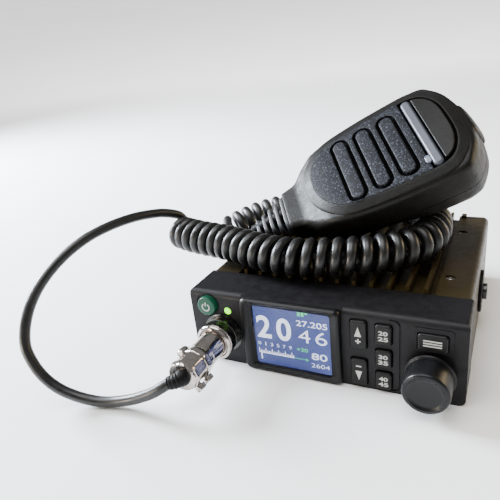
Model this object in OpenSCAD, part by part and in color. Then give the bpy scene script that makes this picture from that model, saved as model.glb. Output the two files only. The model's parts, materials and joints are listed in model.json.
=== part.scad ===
// Mobile transceiver: die-cast case, moulded front panel with colour display and
// keys, screw-on microphone plug, curly cord and hand microphone lying on top.
// Millimetres, +X to the right, +Y to the back, +Z up.
// The origin is the centre of the case's base.

/* [Case] */
// Width of the front panel
panel_w = 120; // [118:0.5:124]
// Height of the body without the fins
body_h = 36; // [35:0.5:38]
// Depth of the front panel moulding
bezel_d = 21; // [19:0.5:24]
// Depth of the die-cast case behind it
case_d = 95; // [92:1:110]
// Thickness of the case's side walls
case_wall = 3.5; // [3:0.25:4.5]
// Thickness of the bottom cover
cover_t = 2; // [1.8:0.1:2.4]
// Spacing of the cooling fins
fin_pitch = 7.5; // [7:0.25:7.5]
// Thickness of one cooling fin
fin_t = 1.6; // [1.2:0.1:2.4]
// How far the fins stand above the body
fin_rise = 2; // [1:0.25:3]

/* [Controls] */
// Diameter of the power button
power_d = 9.4; // [8:0.2:10]
// Diameter of the knob at its base
knob_d = 19.4; // [16:0.2:20]
// Length of the knob
knob_l = 12; // [10:0.5:14]
// Travel of a key
key_travel = 0.8; // [0.4:0.1:0.8]
// Travel of the power button
power_travel = 1; // [0.5:0.1:1]

/* [Cord] */
// Diameter of the cord
cord_d = 4.8; // [4:0.2:5.2]
// Outer diameter of the curly part
coil_d = 18; // [16:0.5:18]

/* [Microphone] */
// Thickness of the microphone's shells
shell_t = 2.2; // [1.8:0.1:2.6]
// Travel of the talk switch
talk_travel = 1.5; // [0.5:0.1:1.5]

/* [Hidden] */

$fn = 48;

// Places along Y: front of the panel, joint of panel and case, back of the case
front_y = -(bezel_d + case_d) / 2;
case_y = front_y + bezel_d;
rear_y = case_y + case_d;
half_w = panel_w / 2;
case_half = half_w - 0.5;

// Front panel walls
bezel_wall = 2.5;
bezel_floor = 1.2;
bezel_back = front_y + bezel_wall;
edge_round = 3;

// Case: underside of the roof, floor of the valleys, and the plain flanges
roof_z = body_h - 5;
valley_z = body_h - 2.4;
flange_x = 45.5;
fin_count = 12;
rear_wall = 3;

// Display: frame, clear window and the opening behind it, as low and high corners
frame_x = [-33.4, 11.8];
frame_rise = 2.8;
window_x = [-28.8, 7.5];
window_z = [1.5, 32.8];
opening_x = [-27.8, 6.5];
opening_z = [2.3, 32];

// Keys: [x, z, width, height] of each cap
up_key = [19, 26, 6.8, 12.8];
down_key = [19, 8.3, 6.8, 12.4];
upper_key = [29, 27.5, 6.6, 8.8];
middle_key = [29, 16.5, 6.6, 8];
lower_key = [29, 6, 6.6, 8];
wide_key = [47.4, 27.2, 11.2, 7.4];
key_gap = 0.3;
key_proud = 1.5;
// Raised surround of the wide key, and the groove around the other five keys
surround = [47.6, 28, 14.4, 11];
surround_rise = 0.4;
key_field = [23.9, 17.8, 23.8, 33.4];
groove_w = 0.8;
groove_depth = 0.6;

// Round controls, as [x, z] on the front panel
power_at = [-51, 29];
led_at = [-41, 27.2];
knob_at = [47, 13.3];
plug_at = [-44.3, 15.8];

// Front circuit board and the rubber mat before it
ear_gap = 0.3;
ear_t = 0.8;
mat_y = bezel_back + ear_gap + ear_t + key_travel + 0.8;
board_y = mat_y + 1.1;

// Rear connectors, as [x, z]
antenna_at = [-32, 19];
jack_at = [4, 19];
gland_at = [34, 19];

// Case fasteners
side_screw_y = 6;
side_hole_y = 42;
side_z = 18;
cover_screw_x = 53;
cover_screw_y = [case_y + 7, rear_y - 8];
top_screw_x = 48.6;
top_screw_y = [-19.5, 34];
board_screw_x = 42;
board_screw_y = [-28, 0];
tongue_x = 51;
tongue_y = case_y - 4.5;
speaker_y = 29.5;
thread_gap = 0.05;

// Microphone: centre of its face, and its turn about X, then Y, then Z
mic_at = [9.8, 4.6, 82.85];
mic_turn = [29.5, -24.1, 19.65];
seam_n = -14.5;
// Stations along it: [along, half width, face, back, face round, back round]
mic_stations = [
    [-48, 12.5, -4.5, -18.0, 4, 6], [-41.5, 14.0, -4.5, -19.5, 4, 7],
    [-34, 20.0, -2.5, -20.0, 4, 8], [-27, 23.2, -0.5, -20.0, 3, 8],
    [-20, 25.0, 0, -20.0, 3, 8], [-8, 26.8, 0, -21.0, 3, 8], [3, 27.8, 0, -24.5, 3, 8],
    [14, 28.2, 0, -28.0, 3, 8], [29, 28.5, 0, -28.5, 3, 8], [34, 27.5, 0, -28.0, 3, 8],
    [38.5, 23.0, -0.3, -26.5, 3, 8], [42.5, 16.5, -1.5, -23.0, 3, 7],
    [44.5, 9.0, -3.5, -18.0, 3, 6]
];
face_u = [-34.5, 40];
panel_u = [-28, 26];
panel_v = 24;
bar_u = [-12, 0, 12];
talk_u = [4.2, 28.8];
talk_n = [-11.5, -3.5];
talk_back = 24.5;
strain_u = [-69, -48];
mic_screw_at = [[-30, 0], [30, 17], [30, -17]];

// The straight lead, from the plug's boot, along the surface and up to the coil
boot_from = [plug_at[0], front_y - 36, plug_at[1]];
boot_to = [-48.5, -98, 14.8];
lead_route = [
    boot_to, [-51.2, -100, 13.2], [-55.2, -101.2, 10.7], [-60, -101.8, 8.2],
    [-65.2, -102.2, 5.8], [-70, -102.8, 4.2], [-74.7, -103.6, 3.1], [-79, -104.7, 2.7],
    [-84, -106, 3], [-91, -108, 4.9], [-98.4, -109.9, 8.4], [-104.9, -110.8, 13.4],
    [-110.2, -110.4, 19.6], [-114.3, -108.7, 26.5], [-116.4, -104.7, 33.4],
    [-117.1, -99.7, 39.8], [-116.7, -93.9, 45.6], [-115.5, -87.4, 50.5],
    [-113.7, -80.3, 54.7], [-111.4, -72.6, 58.1], [-108.7, -64.4, 60.6],
    [-105.6, -55.6, 62], [-102.2, -46.4, 62.5], [-98.4, -36.6, 62],
    [-94.4, -26.4, 60.2], [-90.1, -16.5, 56]
];
// Centre line of the curly part over the case, and of its part at the back
coil_front_route = [
    [-90, -17, 46.5], [-77, -22.5, 47], [-66, -25, 47], [-56, -27, 47],
    [-46, -30, 47], [-34, -34, 47], [-22, -36.5, 47], [-12, -36.3, 47],
    [0, -33.5, 47], [13, -29, 47], [24.5, -21.8, 47], [32.8, -12.8, 47],
    [36.9, -0.7, 47], [37.3, 9.5, 47]
];
coil_rear_route = [
    [37.3, 9.5, 47], [35.4, 20.5, 47], [29.6, 31.5, 47], [19, 39.2, 47], [5, 42, 47],
    [-12, 40.5, 47], [-28, 35, 47], [-42, 26.5, 47], [-54, 16, 46], [-62, 7, 44],
    [-67, 0, 42]
];
// Cord from the microphone's strain relief back to the end of the curly part
tail_route = [
    [-47.8, -10.8, 46.7], [-50.9, -12, 45.4], [-54, -12.6, 44.5], [-57.5, -11.9, 44.6],
    [-61.2, -10.2, 45.6], [-65, -7.7, 46.8], [-69.9, -4.1, 47.6]
];

function unit(v) = v / norm(v);
function before(route, i) = route[max(i - 1, 0)];
function after(route, i) = route[min(i + 1, len(route) - 1)];
function heading(route, i) = unit(after(route, i) - before(route, i));
function level(d) = unit(cross([0, 0, 1], d));
function ring(centre, d, r, sides) = [
    for (k = [0 : sides - 1])
        centre + r * (cos(360 * k / sides) * level(d) + sin(360 * k / sides) * cross(d, level(d)))
];

// A round tube swept along a route
module tube(route, r, sides = 12) {
    rings = len(route);
    points = [for (i = [0 : rings - 1]) each ring(route[i], heading(route, i), r, sides)];
    walls = [
        for (i = [0 : rings - 2], k = [0 : sides - 1])
            let (next = (k + 1) % sides)
            [i * sides + k, (i + 1) * sides + k, (i + 1) * sides + next, i * sides + next]
    ];
    start = [for (k = [0 : sides - 1]) k];
    end = [for (k = [sides - 1 : -1 : 0]) (rings - 1) * sides + k];
    polyhedron(points, concat(walls, [start], [end]));
}

// One quarter of a round corner, as points
function quarter(x, y, r, from) = [
    for (i = [0 : 4]) [x + r * cos(from + 22.5 * i), y + r * sin(from + 22.5 * i)]
];

// Cross-section of the microphone at a station, made smaller by an inset
function mic_section(s, inset) = let (
    w = s[1] - inset, top = s[2] - inset, bottom = s[3] + inset,
    rt = max(s[4] - inset, 0.5), rb = max(s[5] - inset, 0.5)
) concat(
    quarter(w - rt, top - rt, rt, 0), quarter(rt - w, top - rt, rt, 90),
    quarter(rb - w, bottom + rb, rb, 180), quarter(w - rb, bottom + rb, rb, 270)
);

// The microphone's body, as one closed form through its stations
module mic_form(inset = 0) {
    last = len(mic_stations) - 1;
    sides = 20;
    points = [
        for (i = [0 : last])
            let (s = mic_stations[i], shift = i == 0 ? inset : (i == last ? -inset : 0))
            for (p = mic_section(s, inset)) [s[0] + shift, p[0], p[1]]
    ];
    walls = [
        for (i = [0 : last - 1], k = [0 : sides - 1])
            let (next = (k + 1) % sides, a = i * sides, b = (i + 1) * sides)
            each [[a + k, b + k, a + next], [b + k, b + next, a + next]]
    ];
    start = [for (k = [0 : sides - 1]) k];
    end = [for (k = [sides - 1 : -1 : 0]) last * sides + k];
    polyhedron(points, concat(walls, [start], [end]));
}

// A block between low and high values on each axis
module slab(x, y, z) {
    translate([x[0], y[0], z[0]])
        cube([x[1] - x[0], y[1] - y[0], z[1] - z[0]]);
}

// A flat outline in X and Z, made d thick towards the back
module plate(y, d) {
    translate([0, y + d, 0])
        rotate([90, 0, 0])
            linear_extrude(height = d)
                children();
}

// A round rod along Y from y0 to y1, at [x, z]
module rod(at, y0, y1, r) {
    translate([at[0], y0, at[1]])
        rotate([-90, 0, 0])
            cylinder(h = y1 - y0, r = r);
}

// A round rod along X
module cross_rod(x0, x1, y, z, r) {
    translate([x0, y, z])
        rotate([0, 90, 0])
            cylinder(h = x1 - x0, r = r);
}

// A rectangle with round corners
module round_rect(w, h, r) {
    square([w - 2 * r, h], center = true);
    square([w, h - 2 * r], center = true);
    for (x = [-1, 1], y = [-1, 1])
        translate([x * (w / 2 - r), y * (h / 2 - r)])
            circle(r = r);
}

// Things placed on both sides, and in the microphone's own frame
module both_sides() {
    children();
    mirror([1, 0, 0])
        children();
}

module on_mic() {
    translate(mic_at)
        rotate(mic_turn)
            children();
}

// A screw with its head down, its shank rising from z
module screw_up(x, y, z, head_r, head_h, r, length) {
    translate([x, y, z]) {
        cylinder(h = head_h, r = head_r);
        cylinder(h = length, r = r);
    }
}

// ---- Case ----

// Section of the case across X, with round top edges
module case_section() {
    square_h = body_h - cover_t;
    translate([-case_half, cover_t])
        square([2 * case_half, square_h - edge_round]);
    translate([-case_half + edge_round, cover_t])
        square([2 * (case_half - edge_round), square_h]);
    for (x = [-1, 1])
        translate([x * (case_half - edge_round), body_h - edge_round])
            circle(r = edge_round);
}

module fins() {
    first = -fin_pitch * (fin_count - 1) / 2;
    for (i = [0 : fin_count - 1])
        translate([first + i * fin_pitch - fin_t / 2, case_y + 0.6, valley_z - 0.2])
            cube([fin_t, case_d - 0.6, body_h + fin_rise - valley_z + 0.2]);
}

// Raised pad on the inner rear corner of each flange
module flange_tab() {
    slab([flange_x + 0.6, flange_x + 3], [rear_y - 3.5, rear_y], [body_h - 1, body_h + 1.6]);
}

module case_posts() {
    for (y = cover_screw_y)
        translate([cover_screw_x, y, cover_t])
            cylinder(h = roof_z - cover_t + 0.5, r = 4);
    for (y = board_screw_y)
        translate([board_screw_x, y, 7.7])
            cylinder(h = roof_z - 7.7 + 0.5, r = 3);
    slab([tongue_x - 4, tongue_x + 5], [tongue_y - 4, case_y + 2], [3.4, 8]);
}

module side_boss(y) {
    cross_rod(case_half - 9, case_half - 1, y, side_z, 4.5);
}

module chassis() {
    color("#2b2a29")
    difference() {
        union() {
            difference() {
                plate(case_y, case_d) case_section();
                slab([-case_half + case_wall, case_half - case_wall],
                    [case_y - 1, rear_y - rear_wall], [0, roof_z]);
                slab([-flange_x + 0.5, flange_x - 0.5],
                    [case_y - 1, rear_y + 1], [valley_z, body_h + 5]);
            }
            fins();
            both_sides() {
                flange_tab();
                case_posts();
                side_boss(side_screw_y);
                side_boss(side_hole_y);
            }
        }
        both_sides() {
            for (y = cover_screw_y)
                translate([cover_screw_x, y, 0])
                    cylinder(h = 14, r = 1.5 + thread_gap);
            for (y = board_screw_y)
                translate([board_screw_x, y, 0])
                    cylinder(h = 17, r = 1.25 + thread_gap);
            for (y = top_screw_y) {
                translate([top_screw_x, y, roof_z - 1])
                    cylinder(h = 10, r = 1.25 + thread_gap);
                translate([top_screw_x, y, body_h - 2])
                    cylinder(h = 5, r = 2.25);
            }
            translate([tongue_x, tongue_y, 0])
                cylinder(h = 12, r = 1.5 + thread_gap);
            for (y = [side_screw_y, side_hole_y])
                cross_rod(case_half - 12, case_half + 1, y, side_z, 2);
        }
        rod(antenna_at, rear_y - 5, rear_y + 1, 7.9);
        rod(jack_at, rear_y - 5, rear_y + 1, 3.05);
        rod(gland_at, rear_y - 5, rear_y + 1, 5);
    }
}

module bottom_cover() {
    color("#262626")
    difference() {
        slab([-case_half, case_half], [case_y, rear_y], [0, cover_t]);
        both_sides()
            for (y = cover_screw_y) {
                translate([cover_screw_x, y, -1])
                    cylinder(h = 5, r = 1.65);
                translate([cover_screw_x, y, -1])
                    cylinder(h = 2.4, r = 3.1);
            }
        for (i = [-4 : 4])
            slab([i * 5 - 1.1, i * 5 + 1.1], [speaker_y - 17, speaker_y + 17], [-1, 5]);
    }
}

module cover_screws() {
    color("#55565a")
    both_sides()
        for (y = cover_screw_y)
            screw_up(cover_screw_x, y, 0.2, 2.9, 1.1, 1.5, 11);
}

module bezel_screws() {
    color("#55565a")
    both_sides()
        screw_up(tongue_x, tongue_y, 0.2, 2.6, 1.3, 1.5, 7);
}

module board_screws() {
    color("#9a9a96")
    both_sides()
        for (y = board_screw_y)
            screw_up(board_screw_x, y, 4.2, 2.5, 1.75, 1.25, 11);
}

module top_screws() {
    color("#8b8c8f")
    both_sides()
        for (y = top_screw_y)
            translate([top_screw_x, y, 0])
                difference() {
                    union() {
                        translate([0, 0, roof_z]) cylinder(h = 4, r = 1.25);
                        translate([0, 0, body_h - 2]) cylinder(h = 1.3, r = 2.1);
                    }
                    translate([0, 0, body_h - 1.3]) cylinder(h = 2, r = 1.1, $fn = 6);
                }
}

module side_washers() {
    color("#1a1a1a")
    both_sides()
        difference() {
            cross_rod(case_half, case_half + 1.4, side_screw_y, side_z, 10);
            cross_rod(case_half - 1, case_half + 4, side_screw_y, side_z, 2.1);
        }
}

module side_screws() {
    color("#3b3b3d")
    both_sides()
        difference() {
            union() {
                cross_rod(case_half - 8, case_half + 2, side_screw_y, side_z, 1.95);
                cross_rod(case_half + 1.4, case_half + 3.3, side_screw_y, side_z, 3.8);
            }
            translate([case_half + 2.3, side_screw_y, side_z])
                rotate([0, 90, 0])
                    cylinder(h = 3, r = 1.6, $fn = 6);
        }
}

module main_board() {
    color("#1f5a35")
    difference() {
        slab([-46, 46], [-34, 4], [6, 7.6]);
        both_sides()
            for (y = board_screw_y)
                translate([board_screw_x, y, 4])
                    cylinder(h = 6, r = 1.4);
    }
}

module power_transistors() {
    color("#222222")
    for (x = [-22, 12])
        slab([x, x + 10], [6, 21], [roof_z - 4.5, roof_z]);
}

module speaker() {
    color("#444444")
    translate([0, speaker_y, cover_t + 0.1]) {
        difference() {
            cylinder(h = 2.5, r = 23.5);
            translate([0, 0, -1])
                cylinder(h = 2.6, r = 21);
        }
        translate([0, 0, 2.4])
            cylinder(h = 5, r1 = 20, r2 = 14);
        translate([0, 0, 7.3])
            cylinder(h = 6, r = 13);
    }
}

module antenna_socket() {
    color("#b9b9b4")
    difference() {
        union() {
            rod(antenna_at, rear_y - 10, rear_y + 1, 7.8);
            rod(antenna_at, rear_y, rear_y + 2, 9.5);
            rod(antenna_at, rear_y + 2, rear_y + 12, 7.94);
        }
        rod(antenna_at, rear_y + 3, rear_y + 13, 2);
    }
}

module antenna_nut() {
    color("#a9a9a4")
    difference() {
        translate([antenna_at[0], rear_y - rear_wall - 3.2, antenna_at[1]])
            rotate([-90, 0, 0])
                cylinder(h = 3, r = 10.9, $fn = 6);
        rod(antenna_at, rear_y - 8, rear_y - 1, 7.85);
    }
}

module speaker_jack() {
    color("#1d1d1f")
    difference() {
        union() {
            slab([jack_at[0] - 4.5, jack_at[0] + 4.5], [rear_y - 15, rear_y - rear_wall - 0.1],
                [jack_at[1] - 4.5, jack_at[1] + 4.5]);
            rod(jack_at, rear_y - 4, rear_y + 2.5, 3);
        }
        rod(jack_at, rear_y - 11.5, rear_y + 3, 1.8);
    }
}

module jack_nut() {
    color("#c4c4c0")
    difference() {
        rod(jack_at, rear_y + 0.05, rear_y + 1.8, 4.8);
        rod(jack_at, rear_y - 1, rear_y + 3, 3.05);
    }
}

module power_gland() {
    color("#161616")
    difference() {
        union() {
            rod(gland_at, rear_y - rear_wall - 2, rear_y + 1, 4.95);
            rod(gland_at, rear_y, rear_y + 2, 6.6);
        }
        rod(gland_at, rear_y - 8, rear_y + 4, 3.2);
    }
}

// ---- Front panel ----

module panel_outline() {
    r_top = 1.5;
    r_low = 3;
    translate([-half_w, r_low])
        square([panel_w, body_h - r_low - r_top]);
    translate([r_top - half_w, body_h / 2])
        square([panel_w - 2 * r_top, body_h / 2]);
    translate([r_low - half_w, 0])
        square([panel_w - 2 * r_low, body_h / 2]);
    for (x = [-1, 1]) {
        translate([x * (half_w - r_top), body_h - r_top])
            circle(r = r_top);
        translate([x * (half_w - r_low), r_low])
            circle(r = r_low);
    }
}

// What is taken off the panel's top front edge to round it
module edge_cut(x0, x1) {
    difference() {
        slab([x0, x1], [front_y - 1, front_y + edge_round], [body_h - edge_round, body_h + 1]);
        cross_rod(x0 - 1, x1 + 1, front_y + edge_round, body_h - edge_round, edge_round);
    }
}

module key_outline(key, gap = 0) {
    translate([key[0], key[1]])
        round_rect(key[2] + 2 * gap, key[3] + 2 * gap, 0.9 + gap);
}

// Groove down the right of the five keys, turning in above and below them
module key_groove() {
    plate(front_y - 1, 1 + groove_depth)
        intersection() {
            difference() {
                translate([key_field[0], key_field[1]])
                    round_rect(key_field[2], key_field[3], 3);
                translate([key_field[0], key_field[1]])
                    round_rect(key_field[2] - 2 * groove_w, key_field[3] - 2 * groove_w, 2.2);
            }
            translate([31, 0])
                square([10, body_h]);
        }
}

module front_bezel() {
    color("#3a3a3d")
    difference() {
        union() {
            plate(front_y - surround_rise, surround_rise + 0.5)
                translate([surround[0], surround[1]])
                    round_rect(surround[2], surround[3], 2);
            difference() {
                plate(front_y, bezel_d) panel_outline();
                slab([bezel_wall - half_w, half_w - bezel_wall], [bezel_back, case_y + 1],
                    [bezel_floor, body_h - bezel_wall]);
            }
            both_sides()
                slab([tongue_x - 5, half_w - 1], [tongue_y - 4.5, case_y], [0.5, 3.2]);
        }
        edge_cut(-half_w - 1, frame_x[0]);
        edge_cut(frame_x[1], half_w + 1);
        slab(opening_x, [front_y - 1, bezel_back + 1], opening_z);
        for (key = [up_key, down_key, upper_key, middle_key, lower_key, wide_key])
            plate(front_y - 1, bezel_wall + 2) key_outline(key, key_gap);
        key_groove();
        rod(power_at, front_y - 1, bezel_back + power_travel + 1.6, power_d / 2 + 0.25);
        rod(power_at, front_y - 1, front_y + 0.6, power_d / 2 + 1.2);
        rod(led_at, front_y - 1, bezel_back + 1, 1.75);
        rod(knob_at, front_y - 1, bezel_back + 1, 3.6);
        rod(plug_at, front_y - 1, bezel_back + 1, 7.9);
        both_sides()
            translate([tongue_x, tongue_y, -1]) {
                cylinder(h = 6, r = 1.65);
                cylinder(h = 2.6, r = 2.8);
            }
    }
}

module display_frame() {
    centre_x = (frame_x[0] + frame_x[1]) / 2;
    color("#2f2f31")
    difference() {
        plate(front_y - frame_rise, frame_rise)
            translate([centre_x, body_h / 2])
                round_rect(frame_x[1] - frame_x[0], body_h, 2.5);
        slab(window_x, [front_y - 1.5, front_y + 1], window_z);
        slab([window_x[0] + 0.6, window_x[1] - 0.6], [front_y - 4, front_y],
            [window_z[0] + 0.6, window_z[1] - 0.6]);
    }
}

module display_window() {
    color("#9fb4d8", 0.5)
    slab([window_x[0] + 0.05, window_x[1] - 0.05], [front_y - 1.4, front_y],
        [window_z[0] + 0.05, window_z[1] - 0.05]);
}

module display_module() {
    color("#5a6fc0") {
        slab([opening_x[0] + 0.1, opening_x[1] - 0.1], [front_y + 0.05, bezel_back + 0.2],
            [opening_z[0] + 0.1, opening_z[1] - 0.1]);
        slab([opening_x[0] - 1.5, opening_x[1] + 1.5], [bezel_back + 0.1, bezel_back + 2],
            [opening_z[0] - 0.9, opening_z[1] + 1]);
    }
}

module status_led() {
    color("#b6ff5a") {
        rod(led_at, front_y - 0.5, bezel_back + 0.2, 1.7);
        rod(led_at, bezel_back + 0.1, board_y, 2.2);
    }
}

// A key cap with the two ears that hold it behind the panel
module key_piece(key) {
    plate(front_y - key_proud, key_proud + bezel_wall + 1) key_outline(key);
    plate(bezel_back + ear_gap, ear_t)
        translate([key[0], key[1]])
            square([key[2] + 1.8, key[3] - 1.6], center = true);
}

module key_up() {
    color("#2d2d2f") key_piece(up_key);
}

module key_down() {
    color("#2d2d2f") key_piece(down_key);
}

module key_upper() {
    color("#2d2d2f") key_piece(upper_key);
}

module key_middle() {
    color("#2d2d2f") key_piece(middle_key);
}

module key_lower() {
    color("#2d2d2f") key_piece(lower_key);
}

module key_wide() {
    color("#2d2d2f") key_piece(wide_key);
}

module keypad_mat() {
    color("#8f8f8a") {
        slab([13.5, 34], [mat_y, board_y - 0.1], [2, 32.5]);
        slab([41.5, 54], [mat_y, board_y - 0.1], [23, 31.5]);
    }
}

module power_button() {
    color("#3f8a68") {
        rod(power_at, front_y - 2.2, bezel_back + 1.2, power_d / 2);
        slab([power_at[0] - power_d / 2 - 0.9, power_at[0] + power_d / 2 + 0.9],
            [bezel_back + ear_gap, bezel_back + ear_gap + ear_t],
            [power_at[1] - 2, power_at[1] + 2]);
    }
}

module power_switch() {
    color("#202020")
    slab([power_at[0] - 3, power_at[0] + 3], [bezel_back + 1.4 + power_travel, board_y],
        [power_at[1] - 3, power_at[1] + 3]);
}

module front_board() {
    color("#1f5a35")
    difference() {
        slab([-56, 56], [board_y, board_y + 1.6], [2, 33]);
        slab([-57, -33], [board_y - 1, board_y + 3], [1, 25]);
        slab([knob_at[0] - 6.4, knob_at[0] + 6.4], [board_y - 1, board_y + 3],
            [knob_at[1] - 6.4, knob_at[1] + 6.4]);
    }
}

module encoder() {
    color("#777874")
    difference() {
        union() {
            slab([knob_at[0] - 6.2, knob_at[0] + 6.2], [bezel_back + 0.1, bezel_back + 6.5],
                [knob_at[1] - 6.2, knob_at[1] + 6.2]);
            rod(knob_at, front_y - 2.2, bezel_back + 1, 3.5);
        }
        rod(knob_at, front_y - 3, bezel_back + 4, 3.08);
    }
}

module encoder_nut() {
    color("#b0b0ab")
    difference() {
        rod(knob_at, front_y - 1.9, front_y - 0.05, 5);
        rod(knob_at, front_y - 3, front_y + 1, 3.55);
    }
}

module encoder_shaft() {
    color("#9c9c98")
    rod(knob_at, front_y - 12, bezel_back + 3.6, 3);
}

module knob() {
    face_y = front_y - 2.4 - knob_l;
    color("#2c2c2e")
    difference() {
        translate([knob_at[0], front_y - 2.4, knob_at[1]])
            rotate([90, 0, 0])
                cylinder(h = knob_l, r1 = knob_d / 2, r2 = knob_d / 2 - 1.1);
        rod(knob_at, face_y - 1, face_y + 0.5, knob_d / 2 - 2.2);
        rod(knob_at, front_y - 4.4, front_y - 1, 6);
        rod(knob_at, front_y - 12.1, front_y - 1, 3.02);
    }
}

// ---- Microphone socket and plug ----

module mic_socket() {
    color("#c9c9c4")
    difference() {
        union() {
            rod(plug_at, front_y - 0.8, front_y, 9.4);
            rod(plug_at, front_y - 6.6, front_y + 9, 7.8);
        }
        rod(plug_at, front_y - 8, front_y - 2, 6.6);
    }
}

module socket_nut() {
    color("#b5b5b0")
    difference() {
        translate([plug_at[0], bezel_back + 0.05, plug_at[1]])
            rotate([-90, 30, 0])
                cylinder(h = 3, r = 10.6, $fn = 6);
        rod(plug_at, bezel_back - 1, bezel_back + 5, 7.85);
    }
}

module plug_ring() {
    color("#bdb6b0")
    difference() {
        rod(plug_at, front_y - 10.6, front_y - 3.6, 8.5);
        rod(plug_at, front_y - 8, front_y - 3, 7.88);
        rod(plug_at, front_y - 11, front_y - 7, 6.4);
    }
}

module plug_insert() {
    color("#1b1b1d")
    difference() {
        rod(plug_at, front_y - 8, front_y - 2.1, 5.6);
        for (a = [45 : 90 : 315])
            rod([plug_at[0] + 3 * cos(a), plug_at[1] + 3 * sin(a)],
                front_y - 6, front_y - 2, 0.6);
    }
}

module plug_barrel() {
    color("#cfcfd2")
    difference() {
        union() {
            rod(plug_at, front_y - 23, front_y - 6.9, 6.3);
            rod(plug_at, front_y - 7.7, front_y - 6.9, 7.5);
        }
        rod(plug_at, front_y - 24, front_y - 6, 5.65);
    }
}

module plug_clamp() {
    color("#b9b3a2")
    difference() {
        union() {
            rod(plug_at, front_y - 36, front_y - 23, 6.6);
            rod(plug_at, front_y - 27, front_y - 23, 7.2);
        }
        rod(plug_at, front_y - 37, front_y - 22, 4.75);
        boot_bend(0.05);
        on_clamp_screws()
            translate([0, 0, 4])
                cylinder(h = 6, r = 1.3);
    }
}

// The two clamp screws point down and to the right
module on_clamp_screws() {
    for (y = [front_y - 26.5, front_y - 32.5])
        translate([plug_at[0], y, plug_at[1]])
            rotate([0, 135, 0])
                children();
}

module plug_screws() {
    color("#c9c6c0")
    on_clamp_screws()
        difference() {
            union() {
                translate([0, 0, 4.85]) cylinder(h = 4, r = 1.25);
                translate([0, 0, 7.3]) cylinder(h = 2.2, r = 2.3);
            }
            translate([-0.35, -3, 8.7]) cube([0.7, 6, 2]);
        }
}

// Turns +Z from one point towards another
module aim(from, to) {
    d = to - from;
    translate(from)
        rotate([0, acos(d[2] / norm(d)), atan2(d[1], d[0])])
            children();
}

// The boot's tapered end, which leads the cord off to the left
module boot_bend(gap) {
    aim(boot_from, boot_to)
        cylinder(h = norm(boot_to - boot_from), r1 = 4.6 + gap, r2 = 3 + gap);
}

module plug_boot() {
    color("#202022") {
        rod(plug_at, front_y - 36.5, front_y - 28, 4.7);
        boot_bend(0);
    }
}

module cord_lead() {
    color("#1c1c1e") tube(lead_route, cord_d / 2);
}

module cord_coil_front() {
    color("#1c1c1e") tube(coil_front_route, coil_d / 2);
}

module cord_coil_rear() {
    color("#1c1c1e") tube(coil_rear_route, coil_d / 2);
}

module cord_tail() {
    color("#1c1c1e") tube(tail_route, cord_d / 2);
}

// ---- Hand microphone ----

module face_outline(inset = 0) {
    translate([(face_u[0] + face_u[1]) / 2, 0])
        round_rect(face_u[1] - face_u[0] - 2 * inset, 50 - 2 * inset, 15 - inset);
}

module talk_slot() {
    slab([talk_u[0] - 0.3, talk_u[1] + 0.3], [20, 40], [talk_n[0] - 0.3, talk_n[1] + 0.3]);
}

module mic_front_shell() {
    color("#29292a")
    on_mic()
        difference() {
            intersection() {
                mic_form();
                slab([-60, 60], [-40, 40], [seam_n, 5]);
            }
            mic_form(shell_t);
            translate([0, 0, -1.5])
                linear_extrude(height = 5)
                    face_outline(-0.1);
            talk_slot();
        }
}

module mic_back_shell() {
    color("#2c2c2d")
    on_mic()
        difference() {
            intersection() {
                mic_form();
                slab([-60, 60], [-40, 40], [-40, seam_n]);
            }
            mic_form(shell_t);
            for (at = mic_screw_at)
                translate([at[0], at[1], -40]) {
                    cylinder(h = 40, r = 1.35);
                    cylinder(h = 40.9 + mic_screw_n(at), r = 2.4);
                }
            translate([16, 0, -40])
                cylinder(h = 20, r = 2.05);
        }
}

// Underside of a microphone screw's head
function mic_screw_n(at) = at[0] < 0 ? -20.6 : -28.6;

module mic_screws() {
    color("#6b6b6d")
    on_mic()
        for (at = mic_screw_at)
            translate([at[0], at[1], mic_screw_n(at)]) {
                cylinder(h = 0.9, r = 2.2);
                cylinder(h = 10, r = 1.3);
            }
}

module mic_face_cover() {
    color("#303031")
    on_mic()
        difference() {
            translate([0, 0, -1.4])
                linear_extrude(height = 1.8)
                    face_outline();
            translate([(panel_u[0] + panel_u[1]) / 2, 0, -0.6])
                linear_extrude(height = 4)
                    round_rect(panel_u[1] - panel_u[0], 2 * panel_v - 2, 12);
        }
}

module mic_face_panel() {
    color("#3c3c3e")
    on_mic() {
        translate([(panel_u[0] + panel_u[1]) / 2, 0, -0.55])
            linear_extrude(height = 0.5)
                round_rect(panel_u[1] - panel_u[0] - 0.2, 2 * panel_v - 2.2, 11.9);
        for (u = bar_u)
            translate([u, 0, -0.2])
                linear_extrude(height = 1.2)
                    round_rect(6.2, 43, 3.05);
    }
}

module mic_lamp() {
    color("#b8c4d8")
    on_mic()
        translate([20.8, -17.8, -0.05])
            linear_extrude(height = 0.7)
                round_rect(2.6, 4.6, 1.25);
}

module mic_ptt() {
    color("#2e2e2f")
    on_mic()
        difference() {
            slab(talk_u, [talk_back, 29.4], talk_n);
            translate([0, 0, talk_n[0] - 1])
                rotate([0, 0, 14])
                    translate([0, 31.2, 0])
                        cube([40, 6, 12]);
        }
}

module ptt_switch() {
    color("#1f1f20")
    on_mic()
        slab([12, 20], [17.5, talk_back - talk_travel - 0.2], [-11, -5]);
}

module mic_board() {
    color("#1f5a35")
    on_mic()
        slab([-24, 26], [-17, 17.2], [-11, -9.6]);
}

module mic_capsule() {
    color("#a8a8a2")
    on_mic()
        translate([-8, 0, -9.5])
            cylinder(h = 5.5, r = 5);
}

module mic_hang_stud() {
    color("#b8b8b4")
    on_mic()
        translate([16, 0, -40]) {
            translate([0, 0, 6])
                cylinder(h = 2, r = 5.5);
            translate([0, 0, 7.9])
                cylinder(h = 3.8, r = 3.5);
            translate([0, 0, 11])
                cylinder(h = 4, r = 2);
        }
}

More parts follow.
